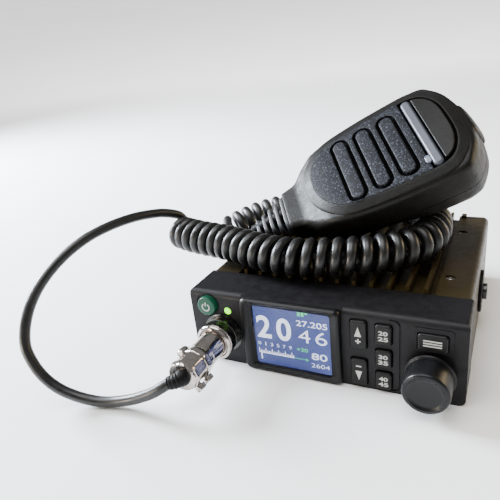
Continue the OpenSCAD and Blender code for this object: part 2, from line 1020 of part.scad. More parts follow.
// Ribbed sleeve that carries the cord out of the microphone's neck
module strain_relief() {
    ribs = 5;
    step = 3.9;
    color("#232324")
    on_mic()
        translate([strain_u[1], 0, -10]) {
            rotate([0, -90, 0])
                cylinder(h = strain_u[1] - strain_u[0], r1 = 5, r2 = 3.4);
            for (i = [0 : ribs - 1]) {
                half = 10.5 - 1.5 * i;
                translate([-i * step - 2.4, -half, -5.6 + 0.5 * i])
                    cube([1.9, 2 * half, 11.2 - i]);
            }
        }
}

chassis();
bottom_cover();
front_bezel();
display_frame();
display_window();
display_module();
front_board();
main_board();
board_screws();
power_transistors();
speaker();
cover_screws();
bezel_screws();
top_screws();
side_washers();
side_screws();
antenna_socket();
antenna_nut();
speaker_jack();
jack_nut();
power_gland();
power_button();
power_switch();
status_led();
key_up();
key_down();
key_upper();
key_middle();
key_lower();
key_wide();
keypad_mat();
encoder();
encoder_nut();
encoder_shaft();
knob();
mic_socket();
socket_nut();
plug_ring();
plug_insert();
plug_barrel();
plug_clamp();
plug_screws();
plug_boot();
cord_lead();
cord_coil_front();
cord_coil_rear();
cord_tail();
strain_relief();
mic_front_shell();
mic_back_shell();
mic_face_cover();
mic_face_panel();
mic_lamp();
mic_ptt();
ptt_switch();
mic_board();
mic_capsule();
mic_screws();
mic_hang_stud();
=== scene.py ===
"""Looks of a mobile transceiver: case, lit display, keys, plug, curly cord and hand microphone.

Metres, in the CAD frame: +X to the right, +Y to the back, +Z up, origin under the case.
"""
import json
import math
from contextlib import contextmanager

import bmesh
import bpy
from mathutils import Matrix, Vector


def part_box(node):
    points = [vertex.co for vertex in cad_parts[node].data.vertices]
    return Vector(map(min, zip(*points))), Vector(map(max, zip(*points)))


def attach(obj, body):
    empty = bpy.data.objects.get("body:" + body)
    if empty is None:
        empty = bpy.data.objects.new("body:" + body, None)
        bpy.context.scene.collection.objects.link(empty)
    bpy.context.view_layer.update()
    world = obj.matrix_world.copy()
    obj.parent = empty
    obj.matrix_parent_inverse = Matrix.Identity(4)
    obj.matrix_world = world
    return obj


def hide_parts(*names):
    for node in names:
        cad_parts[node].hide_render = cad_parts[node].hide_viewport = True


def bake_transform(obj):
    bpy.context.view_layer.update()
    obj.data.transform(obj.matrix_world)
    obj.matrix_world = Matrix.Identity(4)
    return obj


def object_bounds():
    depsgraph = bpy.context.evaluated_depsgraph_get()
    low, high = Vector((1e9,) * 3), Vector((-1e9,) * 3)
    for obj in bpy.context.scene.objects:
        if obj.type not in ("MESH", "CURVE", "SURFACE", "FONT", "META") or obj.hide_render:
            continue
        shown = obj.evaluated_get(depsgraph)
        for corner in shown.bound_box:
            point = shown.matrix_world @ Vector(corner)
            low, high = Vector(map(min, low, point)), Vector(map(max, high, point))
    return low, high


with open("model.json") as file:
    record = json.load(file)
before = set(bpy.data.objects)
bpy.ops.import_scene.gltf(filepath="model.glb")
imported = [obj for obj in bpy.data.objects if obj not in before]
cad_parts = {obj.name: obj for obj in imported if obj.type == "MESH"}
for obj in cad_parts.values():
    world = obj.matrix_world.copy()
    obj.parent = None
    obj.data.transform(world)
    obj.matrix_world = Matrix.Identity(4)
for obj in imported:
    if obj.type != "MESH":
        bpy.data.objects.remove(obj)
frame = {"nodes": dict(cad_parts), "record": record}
cad_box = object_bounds()
nodes = frame["nodes"]

TAU = 2 * math.pi


# ---------------------------------------------------------------- camera

CAMERA_AT = (0.06866, -0.23118, 0.14051)
CAMERA_AZIMUTH, CAMERA_ELEVATION, CAMERA_ROLL = 28.63, 22.55, -6.66
CAMERA_LENS = 37.03


def make_camera():
    """The photograph's viewpoint: from the right, looking down on the front panel."""
    camera = bpy.data.objects.new("camera", bpy.data.cameras.new("camera"))
    bpy.context.scene.collection.objects.link(camera)
    camera.data.sensor_width = 36
    camera.data.lens = CAMERA_LENS
    camera.data.clip_start = 0.01
    turn = (
        Matrix.Rotation(math.radians(CAMERA_AZIMUTH), 4, "Z")
        @ Matrix.Rotation(math.radians(90 - CAMERA_ELEVATION), 4, "X")
        @ Matrix.Rotation(math.radians(CAMERA_ROLL), 4, "Z")
    )
    camera.matrix_world = Matrix.Translation(CAMERA_AT) @ turn
    bpy.context.scene.camera = camera


make_camera()


# ---------------------------------------------------------------- materials

class Look:
    """A node material with a principled shader, and the few nodes that these materials share."""

    def __init__(self, name):
        self.material = bpy.data.materials.new(name)
        self.material.use_nodes = True
        self.tree = self.material.node_tree
        self.shader = self.tree.nodes["Principled BSDF"]
        self.place = self.node("ShaderNodeTexCoord").outputs["Object"]

    def node(self, kind, **settings):
        made = self.tree.nodes.new(kind)
        for key, value in settings.items():
            setattr(made, key, value)
        return made

    def link(self, output, target):
        self.tree.links.new(output, target)

    def fixed(self, **values):
        """Constants on the shader's own sockets, named with _ for each space."""
        for key, value in values.items():
            self.shader.inputs[key.replace("_", " ")].default_value = value

    def noise(self, size, detail=3, roughness=0.55, stretch=(1, 1, 1)):
        """Noise with features of about that size, in metres."""
        made = self.node("ShaderNodeTexNoise")
        made.inputs["Scale"].default_value = 1 / size
        made.inputs["Detail"].default_value = detail
        made.inputs["Roughness"].default_value = roughness
        source = self.place
        if stretch != (1, 1, 1):
            mapping = self.node("ShaderNodeMapping")
            mapping.inputs["Scale"].default_value = stretch
            self.link(source, mapping.inputs["Vector"])
            source = mapping.outputs["Vector"]
        self.link(source, made.inputs["Vector"])
        return made.outputs["Fac"]

    def between(self, factor, low, high, start=0.35, end=0.65):
        """Maps a factor's middle range onto low..high."""
        made = self.node("ShaderNodeMapRange")
        self.link(factor, made.inputs["Value"])
        for key, value in (("From Min", start), ("From Max", end), ("To Min", low), ("To Max", high)):
            made.inputs[key].default_value = value
        return made.outputs["Result"]

    def mixed(self, factor, first, second):
        """Mixes two colours, each a tuple or another node's output."""
        made = self.node("ShaderNodeMix", data_type="RGBA")
        self.link(factor, made.inputs["Factor"])
        for socket, value in ((made.inputs[6], first), (made.inputs[7], second)):
            if isinstance(value, tuple):
                socket.default_value = (*value, 1)
            else:
                self.link(value, socket)
        return made.outputs[2]

    def bump(self, height, depth, below=None):
        """Relief of that depth, in metres, on top of another relief if one is given."""
        made = self.node("ShaderNodeBump")
        made.inputs["Strength"].default_value = 1
        made.inputs["Distance"].default_value = depth
        self.link(height, made.inputs["Height"])
        if below is not None:
            self.link(below, made.inputs["Normal"])
        return made.outputs["Normal"]

    def edge(self, low=0.515, high=0.56):
        """About 1 on convex edges and 0 elsewhere."""
        return self.between(self.node("ShaderNodeNewGeometry").outputs["Pointiness"], 0, 1, low, high)


def moulded(name, colour, tint, roughness, grain=0.0004, depth=0.00002, wear=0.25, **constants):
    """Moulded or cast surface: mottled colour, fine grain, slightly lighter worn edges."""
    look = Look(name)
    mottle = look.between(look.noise(0.009, 4), 0, 1)
    base = look.mixed(mottle, colour, tint)
    fleck = look.between(look.noise(grain, 2), 0, 1, 0.55, 0.8)
    lighter = tuple(min(1, 2.2 * c + 0.002) for c in colour)
    speck = look.mixed(look.between(fleck, 0, 0.35, 0, 1), base, lighter)
    if wear:
        speck = look.mixed(look.between(look.edge(), 0, wear, 0, 1), speck, lighter)
    look.link(speck, look.shader.inputs["Base Color"])
    rough = look.between(look.noise(0.004, 3), roughness - 0.06, roughness + 0.06)
    look.link(rough, look.shader.inputs["Roughness"])
    look.link(look.bump(look.noise(grain, 3), depth), look.shader.inputs["Normal"])
    look.fixed(**constants)
    return look.material


def metal(name, colour, tint, roughness, scratch=0.0015, depth=0.000004):
    """Plated or bare metal with faint brushing and tarnish."""
    look = Look(name)
    tarnish = look.between(look.noise(0.003, 4), 0, 1)
    look.link(look.mixed(tarnish, colour, tint), look.shader.inputs["Base Color"])
    rough = look.between(look.noise(0.002, 3), max(0.03, roughness - 0.05), roughness + 0.07)
    look.link(rough, look.shader.inputs["Roughness"])
    look.link(look.bump(look.noise(scratch, 4, stretch=(1, 6, 1)), depth), look.shader.inputs["Normal"])
    look.fixed(Metallic=1)
    return look.material


def glowing(name, colour, tint, strength, size=0.012):
    """A lit surface whose brightness drifts a little across it."""
    look = Look(name)
    drift = look.between(look.noise(size, 2), 0, 1)
    glow = look.mixed(drift, colour, tint)
    look.link(glow, look.shader.inputs["Emission Color"])
    look.link(look.mixed(drift, tuple(0.4 * c for c in colour), tuple(0.4 * c for c in tint)),
              look.shader.inputs["Base Color"])
    look.link(look.between(drift, 0.35, 0.5, 0, 1), look.shader.inputs["Roughness"])
    look.fixed(Emission_Strength=strength)
    return look.material


def clear(name, colour, tint, roughness=0.03):
    """Clear plastic with faint smears."""
    look = Look(name)
    smear = look.between(look.noise(0.006, 4), 0, 1)
    look.link(look.mixed(smear, colour, tint), look.shader.inputs["Base Color"])
    look.link(look.between(smear, roughness, roughness + 0.05, 0, 1), look.shader.inputs["Roughness"])
    look.fixed(Transmission_Weight=1, IOR=1.2)
    return look.material


def textured_panel(name):
    """Coarse spark-eroded texture, with painted glints in its colour at fine points."""
    look = Look(name)
    cell = look.node("ShaderNodeTexVoronoi", feature="F1")
    cell.inputs["Scale"].default_value = 1 / 0.00042
    look.link(look.place, cell.inputs["Vector"])
    grit = look.noise(0.0007, 4, 0.7)
    base = look.mixed(look.between(grit, 0, 1, 0.42, 0.6), (0.0004, 0.0005, 0.0007), (0.009, 0.01, 0.0135))
    # Painted glints: lighter flecks in the base colour stand for light glittering off the texture
    glint = look.between(look.noise(0.0008, 3, 0.7), 0, 0.9, 0.57, 0.64)
    look.link(look.mixed(glint, base, (0.075, 0.082, 0.11)), look.shader.inputs["Base Color"])
    look.link(look.between(grit, 0.38, 0.62, 0.3, 0.7), look.shader.inputs["Roughness"])
    coarse = look.bump(grit, 0.00016)
    look.link(look.bump(cell.outputs["Distance"], 0.00008, coarse), look.shader.inputs["Normal"])
    look.fixed(Specular_IOR_Level=0.13)
    return look.material


LOOKS = {}


def look_of(make, name, *values, **constants):
    """Keeps a material under its own name, for piece() to find."""
    LOOKS[name] = make(name, *values, **constants)


# The part's material slots
# The casting's brownish tone and warm specular tint are a painted warm reflection on the black casting
look_of(moulded, "cast_black", (0.014, 0.0098, 0.0034), (0.022, 0.015, 0.0052), 0.42, 0.0005,
        Specular_IOR_Level=0.22, Specular_Tint=(1, 0.82, 0.5, 1))
look_of(moulded, "steel_black", (0.004, 0.004, 0.004), (0.006, 0.0055, 0.005), 0.45,
        Specular_IOR_Level=0.2)
look_of(moulded, "panel_plastic", (0.0036, 0.0033, 0.004), (0.0056, 0.0051, 0.006), 0.45,
        Specular_IOR_Level=0.17)
look_of(moulded, "frame_plastic", (0.0024, 0.0024, 0.0027), (0.0036, 0.0036, 0.004), 0.34,
        Specular_IOR_Level=0.2)
look_of(clear, "window_clear", (0.95, 0.96, 1), (0.9, 0.93, 1))
look_of(glowing, "display_lit", (0.04, 0.062, 0.25), (0.055, 0.082, 0.3), 0.85, 0.03)
look_of(moulded, "board_green", (0.02, 0.12, 0.05), (0.03, 0.16, 0.07), 0.4, 0.0008)
look_of(moulded, "component_black", (0.02, 0.02, 0.02), (0.03, 0.03, 0.03), 0.5)
look_of(metal, "screw_steel", (0.52, 0.51, 0.49), (0.38, 0.37, 0.35), 0.28)
look_of(metal, "screw_black", (0.08, 0.08, 0.085), (0.05, 0.05, 0.05), 0.32)
look_of(moulded, "rubber_black", (0.0028, 0.0028, 0.003), (0.0045, 0.0045, 0.005), 0.45, 0.0003,
        Specular_IOR_Level=0.12)
look_of(moulded, "mat_grey", (0.25, 0.25, 0.24), (0.3, 0.3, 0.29), 0.7)
look_of(moulded, "key_plastic", (0.0034, 0.0034, 0.0036), (0.005, 0.005, 0.005), 0.42, 0.0003,
        Specular_IOR_Level=0.2)
# The green cap's faint emission is a painted glow; the button is no lamp
look_of(moulded, "button_green", (0.004, 0.04, 0.022), (0.006, 0.06, 0.034), 0.35, 0.0006,
        Specular_IOR_Level=0.25, Emission_Color=(0.01, 0.16, 0.07, 1), Emission_Strength=0.15)
look_of(glowing, "led_green", (0.16, 0.9, 0.005), (0.34, 1, 0.01), 3, 0.002)
look_of(moulded, "knob_plastic", (0.0028, 0.003, 0.0036), (0.004, 0.0043, 0.005), 0.34, 0.0003,
        Specular_IOR_Level=0.22)
look_of(metal, "nickel", (0.52, 0.48, 0.45), (0.42, 0.38, 0.35), 0.12)
look_of(metal, "steel_plain", (0.5, 0.5, 0.48), (0.42, 0.41, 0.4), 0.3)
look_of(moulded, "speaker_black", (0.015, 0.015, 0.015), (0.025, 0.024, 0.022), 0.6, 0.0007)
look_of(moulded, "cord_jacket", (0.0022, 0.002, 0.002), (0.0038, 0.0034, 0.003), 0.4, 0.0006,
        0.00001, 0, Specular_IOR_Level=0.45)
look_of(moulded, "mic_plastic", (0.0022, 0.002, 0.0016), (0.0034, 0.0031, 0.0025), 0.44, 0.0008,
        0.00014, Specular_IOR_Level=0.18)
look_of(textured_panel, "mic_panel")
look_of(moulded, "lamp_clear", (0.05, 0.06, 0.09), (0.07, 0.085, 0.12), 0.2, 0.0008, 0.00001)
look_of(metal, "capsule_metal", (0.6, 0.6, 0.58), (0.5, 0.5, 0.5), 0.3)
# Looks of single features: prints with a painted glow, lit figures, darker knurl, rib, slats with painted
# light and groove floors with painted shade
# The white prints glow faintly of their own: a painted glow, since they are no lamp
look_of(glowing, "white_print", (0.8, 0.8, 0.76), (0.7, 0.7, 0.68), 0.25, 0.001)
look_of(glowing, "screen_white", (0.9, 0.93, 1), (0.8, 0.86, 1), 1.6, 0.004)
look_of(glowing, "screen_green", (0.05, 0.75, 0.25), (0.08, 0.6, 0.3), 1.1, 0.004)
look_of(moulded, "rib_satin", (0.035, 0.038, 0.05), (0.05, 0.054, 0.068), 0.36, 0.0003, 0.00003,
        Specular_IOR_Level=0.42)
# The slats' lighter colour is painted light on their broad faces; they are of the sleeve's black rubber
look_of(moulded, "slat_rubber", (0.022, 0.023, 0.026), (0.032, 0.033, 0.037), 0.4, 0.0004,
        Specular_IOR_Level=0.4)
# Groove floors darker and duller than the plastic: painted shade in the face's grooves
look_of(moulded, "pit_matt", (0.0006, 0.0006, 0.0006), (0.0012, 0.0012, 0.0012), 0.8, 0.0005, 0.00004, 0,
        Specular_IOR_Level=0.03)
look_of(metal, "knurled_nickel", (0.1, 0.1, 0.095), (0.06, 0.06, 0.055), 0.25)

# Material slot of each node
SLOT_OF = {}


def dress_nodes():
    """Every CAD node gets its own slot's material, but the microphone socket's thread gets the darker knurl
    metal.
    """
    for row in frame["record"]["subparts"]:
        node = row["node"]
        SLOT_OF[node] = row["material_slot"]
        mesh = nodes[node].data
        mesh.materials.clear()
        mesh.materials.append(LOOKS["knurled_nickel" if node == "mic_socket" else SLOT_OF[node]])


dress_nodes()


# ---------------------------------------------------------------- shared makers

def piece(name, mesh, slot, body, *replaced, look=None):
    """An object from a finished mesh, on its body, with its slot's material or a look of its own."""
    made = bpy.data.objects.new(name, mesh)
    bpy.context.scene.collection.objects.link(made)
    mesh.materials.clear()
    mesh.materials.append(LOOKS[look or slot])
    if body:
        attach(made, body)
    if replaced:
        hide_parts(*replaced)
    return made


@contextmanager
def edited(mesh):
    """A mesh opened for editing, then written back."""
    shape = bmesh.new()
    shape.from_mesh(mesh)
    yield shape
    shape.to_mesh(mesh)
    shape.free()


def smooth(mesh, degrees=40):
    """Smooth shading, with edges sharper than the angle kept."""
    for face in mesh.polygons:
        face.use_smooth = True
    mesh.set_sharp_from_angle(angle=math.radians(degrees))
    return mesh


def mesh_from(name, verts, faces):
    """A mesh from points and faces, with bad faces taken out."""
    mesh = bpy.data.meshes.new(name)
    mesh.from_pydata([tuple(v) for v in verts], [], faces)
    mesh.validate()
    return mesh


def lofted(name, rings, wrap=False):
    """A closed skin over rings of points: capped at both ends, or wrapped from the last to the first."""
    count = len(rings[0])
    faces = []
    for row in range(len(rings) if wrap else len(rings) - 1):
        here, following = row * count, (row + 1) % len(rings) * count
        for k in range(count):
            beside = (k + 1) % count
            faces.append((here + k, here + beside, following + beside, following + k))
    if not wrap:
        faces.append(tuple(range(count))[::-1])
        faces.append(tuple((len(rings) - 1) * count + k for k in range(count)))
    return fix_normals(mesh_from(name, [point for ring in rings for point in ring], faces))


def softened(node, body, width, segments=2):
    """The CAD node's own shape with its hard edges rounded off."""
    mesh = nodes[node].data.copy()
    mesh.name = node + "_form"
    with edited(mesh) as shape:
        bmesh.ops.remove_doubles(shape, verts=shape.verts, dist=0.000002)
        bmesh.ops.dissolve_limit(shape, angle_limit=math.radians(0.6), verts=shape.verts, edges=shape.edges)
    for face in mesh.polygons:
        face.use_smooth = True
    made = piece(node + "_form", mesh, SLOT_OF[node], body, node)
    bevel = made.modifiers.new("edges", "BEVEL")
    bevel.width = width
    bevel.segments = segments
    bevel.limit_method = "ANGLE"
    bevel.angle_limit = math.radians(32)
    bevel.miter_outer = "MITER_ARC"
    made.modifiers.new("normals", "WEIGHTED_NORMAL").keep_sharp = False


def plate(name, outlines, low, high, round_off=0, steps=3):
    """A mesh plate in X and Y between two heights, with round edges; inner outlines are holes."""
    curve = bpy.data.curves.new(name, "CURVE")
    curve.dimensions = "2D"
    curve.fill_mode = "BOTH"
    curve.extrude = (high - low) / 2 - round_off
    curve.bevel_depth = round_off
    curve.offset = -round_off
    curve.bevel_resolution = steps
    for outline in outlines:
        spline = curve.splines.new("POLY")
        spline.points.add(len(outline) - 1)
        for point, (x, y) in zip(spline.points, outline):
            point.co = (x, y, 0, 1)
        spline.use_cyclic_u = True
    holder = bpy.data.objects.new(name, curve)
    mesh = bpy.data.meshes.new_from_object(holder)
    bpy.data.objects.remove(holder)
    mesh.name = name
    mesh.transform(Matrix.Translation((0, 0, (low + high) / 2)))
    return smooth(weld(mesh), 35)


def weld(mesh):
    """Joins points that coincide."""
    with edited(mesh) as shape:
        bmesh.ops.remove_doubles(shape, verts=shape.verts, dist=0.000001)
    return mesh


def joined(name, meshes):
    """One mesh made of several."""
    shape = bmesh.new()
    for mesh in meshes:
        shape.from_mesh(mesh)
    mesh = bpy.data.meshes.new(name)
    shape.to_mesh(mesh)
    shape.free()
    return smooth(mesh, 35)


def rounded_outline(cx, cy, w, h, r, steps=8):
    """Outline of a rectangle with round corners."""
    points = []
    for corner, (sx, sy) in enumerate(((1, 1), (-1, 1), (-1, -1), (1, -1))):
        for i in range(steps + 1):
            a = TAU / 4 * (corner + i / steps)
            x = cx + sx * (w / 2 - r) + r * math.cos(a)
            y = cy + sy * (h / 2 - r) + r * math.sin(a)
            points.append((x, y))
    return points


def circle_outline(cx, cy, r, steps=48):
    """A circle as a closed outline."""
    return [(cx + r * math.cos(a), cy + r * math.sin(a)) for a in (TAU * i / steps for i in range(steps))]


FACING_FRONT = Matrix.Rotation(TAU / 4, 4, "X")


def on_front(mesh, y):
    """Stands a plate made in X and Y up as X and Z, with its height 0 at y, facing the front."""
    mesh.transform(Matrix.Translation((0, y, 0)) @ FACING_FRONT)
    return mesh


def lathed(name, profile, at, segments=96, shape=None):
    """A solid of revolution about a line along Y, from [radius, y] points; at is [x, z].

    shape gives what is added to the radius, from the angle, y and the radius.
    """
    rings = []
    for r, y in profile:
        ring = []
        for k in range(segments):
            a = TAU * k / segments
            radius = r + (shape(a, y, r) if shape else 0)
            ring.append((at[0] + radius * math.cos(a), y, at[1] + radius * math.sin(a)))
        rings.append(ring)
    return smooth(lofted(name, rings), 30)


def fix_normals(mesh):
    """Turns the faces of a closed mesh outwards."""
    with edited(mesh) as shape:
        bmesh.ops.recalc_face_normals(shape, faces=shape.faces)
    return mesh


def turned(node):
    """Front and back y, axis [x, z], half the width and half the height of a turned CAD piece."""
    low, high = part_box(node)
    at = ((low.x + high.x) / 2, (low.z + high.z) / 2)
    return low.y, high.y, at, (high.x - low.x) / 2, (high.z - low.z) / 2


def arc_profile(r0, y0, r1, y1, steps=6):
    """Points of a rounded corner from one [radius, y] to another."""
    return [(r1 + (r0 - r1) * math.cos(t), y0 + (y1 - y0) * math.sin(t))
            for t in (TAU / 4 * i / steps for i in range(steps + 1))]


# ---------------------------------------------------------------- cord

CORD_D = 0.0048
COIL_MEAN = 0.0066
TURN_STEPS = 20
LEAD_ROUTE = [
    (-0.0485, -0.098, 0.0148), (-0.0512, -0.1, 0.0132), (-0.0552, -0.1012, 0.0107),
    (-0.06, -0.1018, 0.0082), (-0.0652, -0.1022, 0.0058), (-0.07, -0.1028, 0.0042),
    (-0.0747, -0.1036, 0.0031), (-0.079, -0.1047, 0.0027), (-0.084, -0.106, 0.003),
    (-0.091, -0.108, 0.0049), (-0.0984, -0.1099, 0.0084), (-0.1049, -0.1108, 0.0134),
    (-0.1102, -0.1104, 0.0196), (-0.1143, -0.1087, 0.0265), (-0.1164, -0.1047, 0.0334),
    (-0.1171, -0.0997, 0.0398), (-0.1167, -0.0939, 0.0456), (-0.1155, -0.0874, 0.0505),
    (-0.1137, -0.0803, 0.0547), (-0.1114, -0.0726, 0.0581), (-0.1087, -0.0644, 0.0606),
    (-0.1056, -0.0556, 0.062), (-0.1022, -0.0464, 0.0625), (-0.0984, -0.0366, 0.062),
    (-0.0944, -0.0264, 0.0602), (-0.0901, -0.0165, 0.056),
]
COIL_FRONT_ROUTE = [
    (-0.09, -0.017, 0.0465), (-0.077, -0.0225, 0.047), (-0.066, -0.025, 0.047),
    (-0.056, -0.027, 0.047), (-0.046, -0.03, 0.047), (-0.034, -0.034, 0.047),
    (-0.022, -0.0365, 0.047), (-0.012, -0.0363, 0.047), (0, -0.0335, 0.047),
    (0.013, -0.029, 0.047), (0.0245, -0.0218, 0.047), (0.0328, -0.0128, 0.047),
    (0.0369, -0.0007, 0.047), (0.0373, 0.0095, 0.047),
]
COIL_REAR_ROUTE = [
    (0.0373, 0.0095, 0.047), (0.0354, 0.0205, 0.047), (0.0296, 0.0315, 0.047),
    (0.019, 0.0392, 0.047), (0.005, 0.042, 0.047), (-0.012, 0.0405, 0.047),
    (-0.028, 0.035, 0.047), (-0.042, 0.0265, 0.047), (-0.054, 0.016, 0.046),
    (-0.062, 0.007, 0.044), (-0.067, 0, 0.042),
]
TAIL_ROUTE = [
    (-0.0478, -0.0108, 0.0467), (-0.0509, -0.012, 0.0454), (-0.054, -0.0126, 0.0445),
    (-0.0575, -0.0119, 0.0446), (-0.0612, -0.0102, 0.0456), (-0.065, -0.0077, 0.0468),
    (-0.0699, -0.0041, 0.0476),
]


def through(points, steps):
    """A smooth curve through points, with that many steps between neighbours."""
    route = [Vector(p) for p in points]
    made = []
    for i in range(len(route) - 1):
        a, b = route[max(i - 1, 0)], route[i]
        c, d = route[i + 1], route[min(i + 2, len(route) - 1)]
        for k in range(steps):
            t = k / steps
            made.append(0.5 * (2 * b + (c - a) * t + (2 * a - 5 * b + 4 * c - d) * t * t
                               + (3 * b - 3 * c + d - a) * t ** 3))
    return made + [route[-1]]


def path_length(points):
    """Length of a line of points."""
    return sum((b - a).length for a, b in zip(points, points[1:]))


def curly(route, pitch_start, pitch_end, phase, skip=0, whole=False):
    """Points of a coil's turns about a route, from a phase in turns; returns them and the last phase.

    skip leaves out the start, in turns. whole makes the coil end at the top of a turn.
    """
    line = through(route, 24)
    total = path_length(line)
    turns = total * 2 / (pitch_start + pitch_end)
    if whole:
        turns = round(turns + phase) - phase
    count = int(turns * TURN_STEPS)
    along = [0]
    for a, b in zip(line, line[1:]):
        along.append(along[-1] + (b - a).length)
    made = []
    j = 0
    for i in range(int(skip * TURN_STEPS), count + 1):
        part = i / count
        drift = (pitch_end - pitch_start) / (pitch_start + pitch_end)
        s = total * part * (1 - drift + drift * part)
        while j < len(along) - 2 and along[j + 1] < s:
            j += 1
        t = (s - along[j]) / (along[j + 1] - along[j])
        centre = line[j].lerp(line[j + 1], t)
        heading = (line[min(j + 2, len(line) - 1)] - line[max(j - 1, 0)]).normalized()
        up = (Vector((0, 0, 1)) - heading.z * heading).normalized()
        side = heading.cross(up)
        a = TAU * (phase + turns * part)
        made.append(centre + COIL_MEAN * (math.cos(a) * up - math.sin(a) * side))
    return made, (phase + turns) % 1


def cord_front():
    """The straight lead and the curly part over the case, as one curve; returns its last phase."""
    lead = through(LEAD_ROUTE[:-1], 4)
    turns, phase = curly(COIL_FRONT_ROUTE, 0.0053, 0.0066, 0, skip=0.14)
    entry = through([LEAD_ROUTE[-3], LEAD_ROUTE[-2], LEAD_ROUTE[-1], turns[0], turns[2]], 5)
    points = lead[:-1] + entry[5:15] + turns
    curve = bpy.data.curves.new("cord_front", "CURVE")
    curve.dimensions = "3D"
    curve.bevel_depth = CORD_D / 2
    curve.bevel_resolution = 5
    curve.use_fill_caps = True
    spline = curve.splines.new("POLY")
    spline.points.add(len(points) - 1)
    for target, point in zip(spline.points, points):
        target.co = (*point, 1)
    spline.use_smooth = True
    made = piece("cord_front", curve, "cord_jacket", "radio", "cord_lead", "cord_coil_front")
    return phase


def tube_mesh(name, points, radius_at, sides=14):
    """A round tube along points, with closed ends and a radius given by a point's number."""
    rings = []
    normal = Vector((0, 0, 1))
    for i, point in enumerate(points):
        heading = (points[min(i + 1, len(points) - 1)] - points[max(i - 1, 0)]).normalized()
        normal = (normal - normal.dot(heading) * heading).normalized()
        side = heading.cross(normal)
        turns = [TAU * k / sides for k in range(sides)]
        rings.append([point + radius_at(i) * (math.cos(a) * normal + math.sin(a) * side) for a in turns])
    return smooth(lofted(name, rings), 50)


def cord_rear(phase):
    """The curly part behind the microphone, and the end that runs into its strain relief."""
    turns = curly(COIL_REAR_ROUTE, 0.006, 0.0058, phase, whole=True)[0]
    tail = [Vector(p) for p in TAIL_ROUTE[::-1]]
    points = turns[:-3] + through([turns[-4], turns[-2], *tail[1:]], 5)[1:]
    points = points[::-1]
    tube = tube_mesh("cord_rear", points, lambda i: CORD_D / 2)
    made = piece("cord_rear", tube, "cord_jacket", None, "cord_coil_rear", "cord_tail")
    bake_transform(made)


cord_rear(cord_front())


# ---------------------------------------------------------------- case and panel

# Width of the round on the edges of each piece that keeps its CAD shape
EDGE_ROUNDS = {
    "chassis": 0.00022, "bottom_cover": 0.00015, "side_washers": 0.0003, "top_screws": 0.00012,
    "side_screws": 0.00025, "front_bezel": 0.0004, "antenna_socket": 0.0002, "speaker_jack": 0.0002,
    "jack_nut": 0.0002, "power_gland": 0.0002,
}


def make_case():
    """Case, front panel and hardware, with their edges rounded."""
    for node, width in EDGE_ROUNDS.items():
        softened(node, "radio", width, 3 if node == "front_bezel" else 2)


# Face of each key: [x, z, width, height]
KEYS = {
    "up": (0.019, 0.026, 0.0068, 0.0128), "down": (0.019, 0.0083, 0.0068, 0.0124),
    "upper": (0.029, 0.0275, 0.0066, 0.0088), "middle": (0.029, 0.0165, 0.0066, 0.008),
    "lower": (0.029, 0.006, 0.0066, 0.008), "wide": (0.0474, 0.0272, 0.0112, 0.0074),
}


def make_keys():
    """Keys with well rounded faces, each on its hidden flange."""
    for key, (x, z, w, h) in KEYS.items():
        low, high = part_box("key_" + key)
        depth = high.y - low.y
        cap = plate("cap", [rounded_outline(x, z, w, h, 0.0013)], -depth, 0, 0.0008, 5)
        flange = plate("flange", [rounded_outline((low.x + high.x) / 2, (low.z + high.z) / 2,
                                                  high.x - low.x, high.z - low.z, 0.0005)],
                       -depth, -depth + 0.0008, 0.0001)
        mesh = on_front(joined("key_" + key + "_cap", [cap, flange]), low.y)
        piece("key_" + key + "_cap", mesh, "key_plastic", "key_" + key, "key_" + key)


make_case()
make_keys()


PRINT_THICK = 0.00004


def printed(name, outlines, y, body):
    """Flat white marks with a painted glow, standing on a face at y, from outlines in X and Z."""
    mesh = on_front(plate(name, outlines, 0, PRINT_THICK), y)
    piece(name, mesh, "key_plastic", body, look="white_print")


def digits(text, x, z, weight=0):
    """Mesh of digits facing the front, fitted between x[0], x[1] and z[0], z[1]."""
    curve = bpy.data.curves.new("digits", "FONT")
    curve.body = text
    curve.size = 0.01
    curve.offset = weight * 0.0073 / (z[1] - z[0])
    curve.extrude = 0.00002
    holder = bpy.data.objects.new("digits", curve)
    mesh = bpy.data.meshes.new_from_object(holder)
    bpy.data.objects.remove(holder)
    xs = [v.co.x for v in mesh.vertices]
    ys = [v.co.y for v in mesh.vertices]
    across = (x[1] - x[0]) / (max(xs) - min(xs))
    upward = (z[1] - z[0]) / (max(ys) - min(ys))
    mesh.transform(Matrix.Translation((-min(xs), -min(ys), 0)))
    mesh.transform(Matrix.Translation((x[0], 0, z[0])) @ FACING_FRONT
                   @ Matrix.Diagonal((across, upward, 1, 1)))
    return mesh


def bar(x0, x1, z0, z1):
    """An upright rectangle as an outline."""
    return [(x0, z0), (x1, z0), (x1, z1), (x0, z1)]


def centre_of(node):
    """Middle of a CAD node's box."""
    low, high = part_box(node)
    return (low + high) / 2


# Figures of the lit picture: [digits, left and right, bottom and top, added weight]
FIGURES = [
    ("2", (-0.0267, -0.0199), (0.0166, 0.0278), 0.0003),
    ("0", (-0.0172, -0.0105), (0.0166, 0.0278), 0.0003),
    ("27.205", (-0.0078, 0.0059), (0.0253, 0.0281), 0.00002),
    ("4", (-0.0072, -0.0019), (0.0174, 0.0237), -0.00006),
    ("6", (0.0005, 0.0055), (0.0174, 0.0237), -0.00006),
    ("80", (-0.0018, 0.0052), (0.0095, 0.0128), 0.00002),
    ("2604", (-0.0021, 0.0061), (0.0055, 0.0075), -0.00004),
    ("1", (-0.026, -0.0254), (0.0051, 0.0082), 0),
]
GREEN_FIGURE = ("+20", (-0.0085, -0.0033), (0.0125, 0.0144), 0.00005)
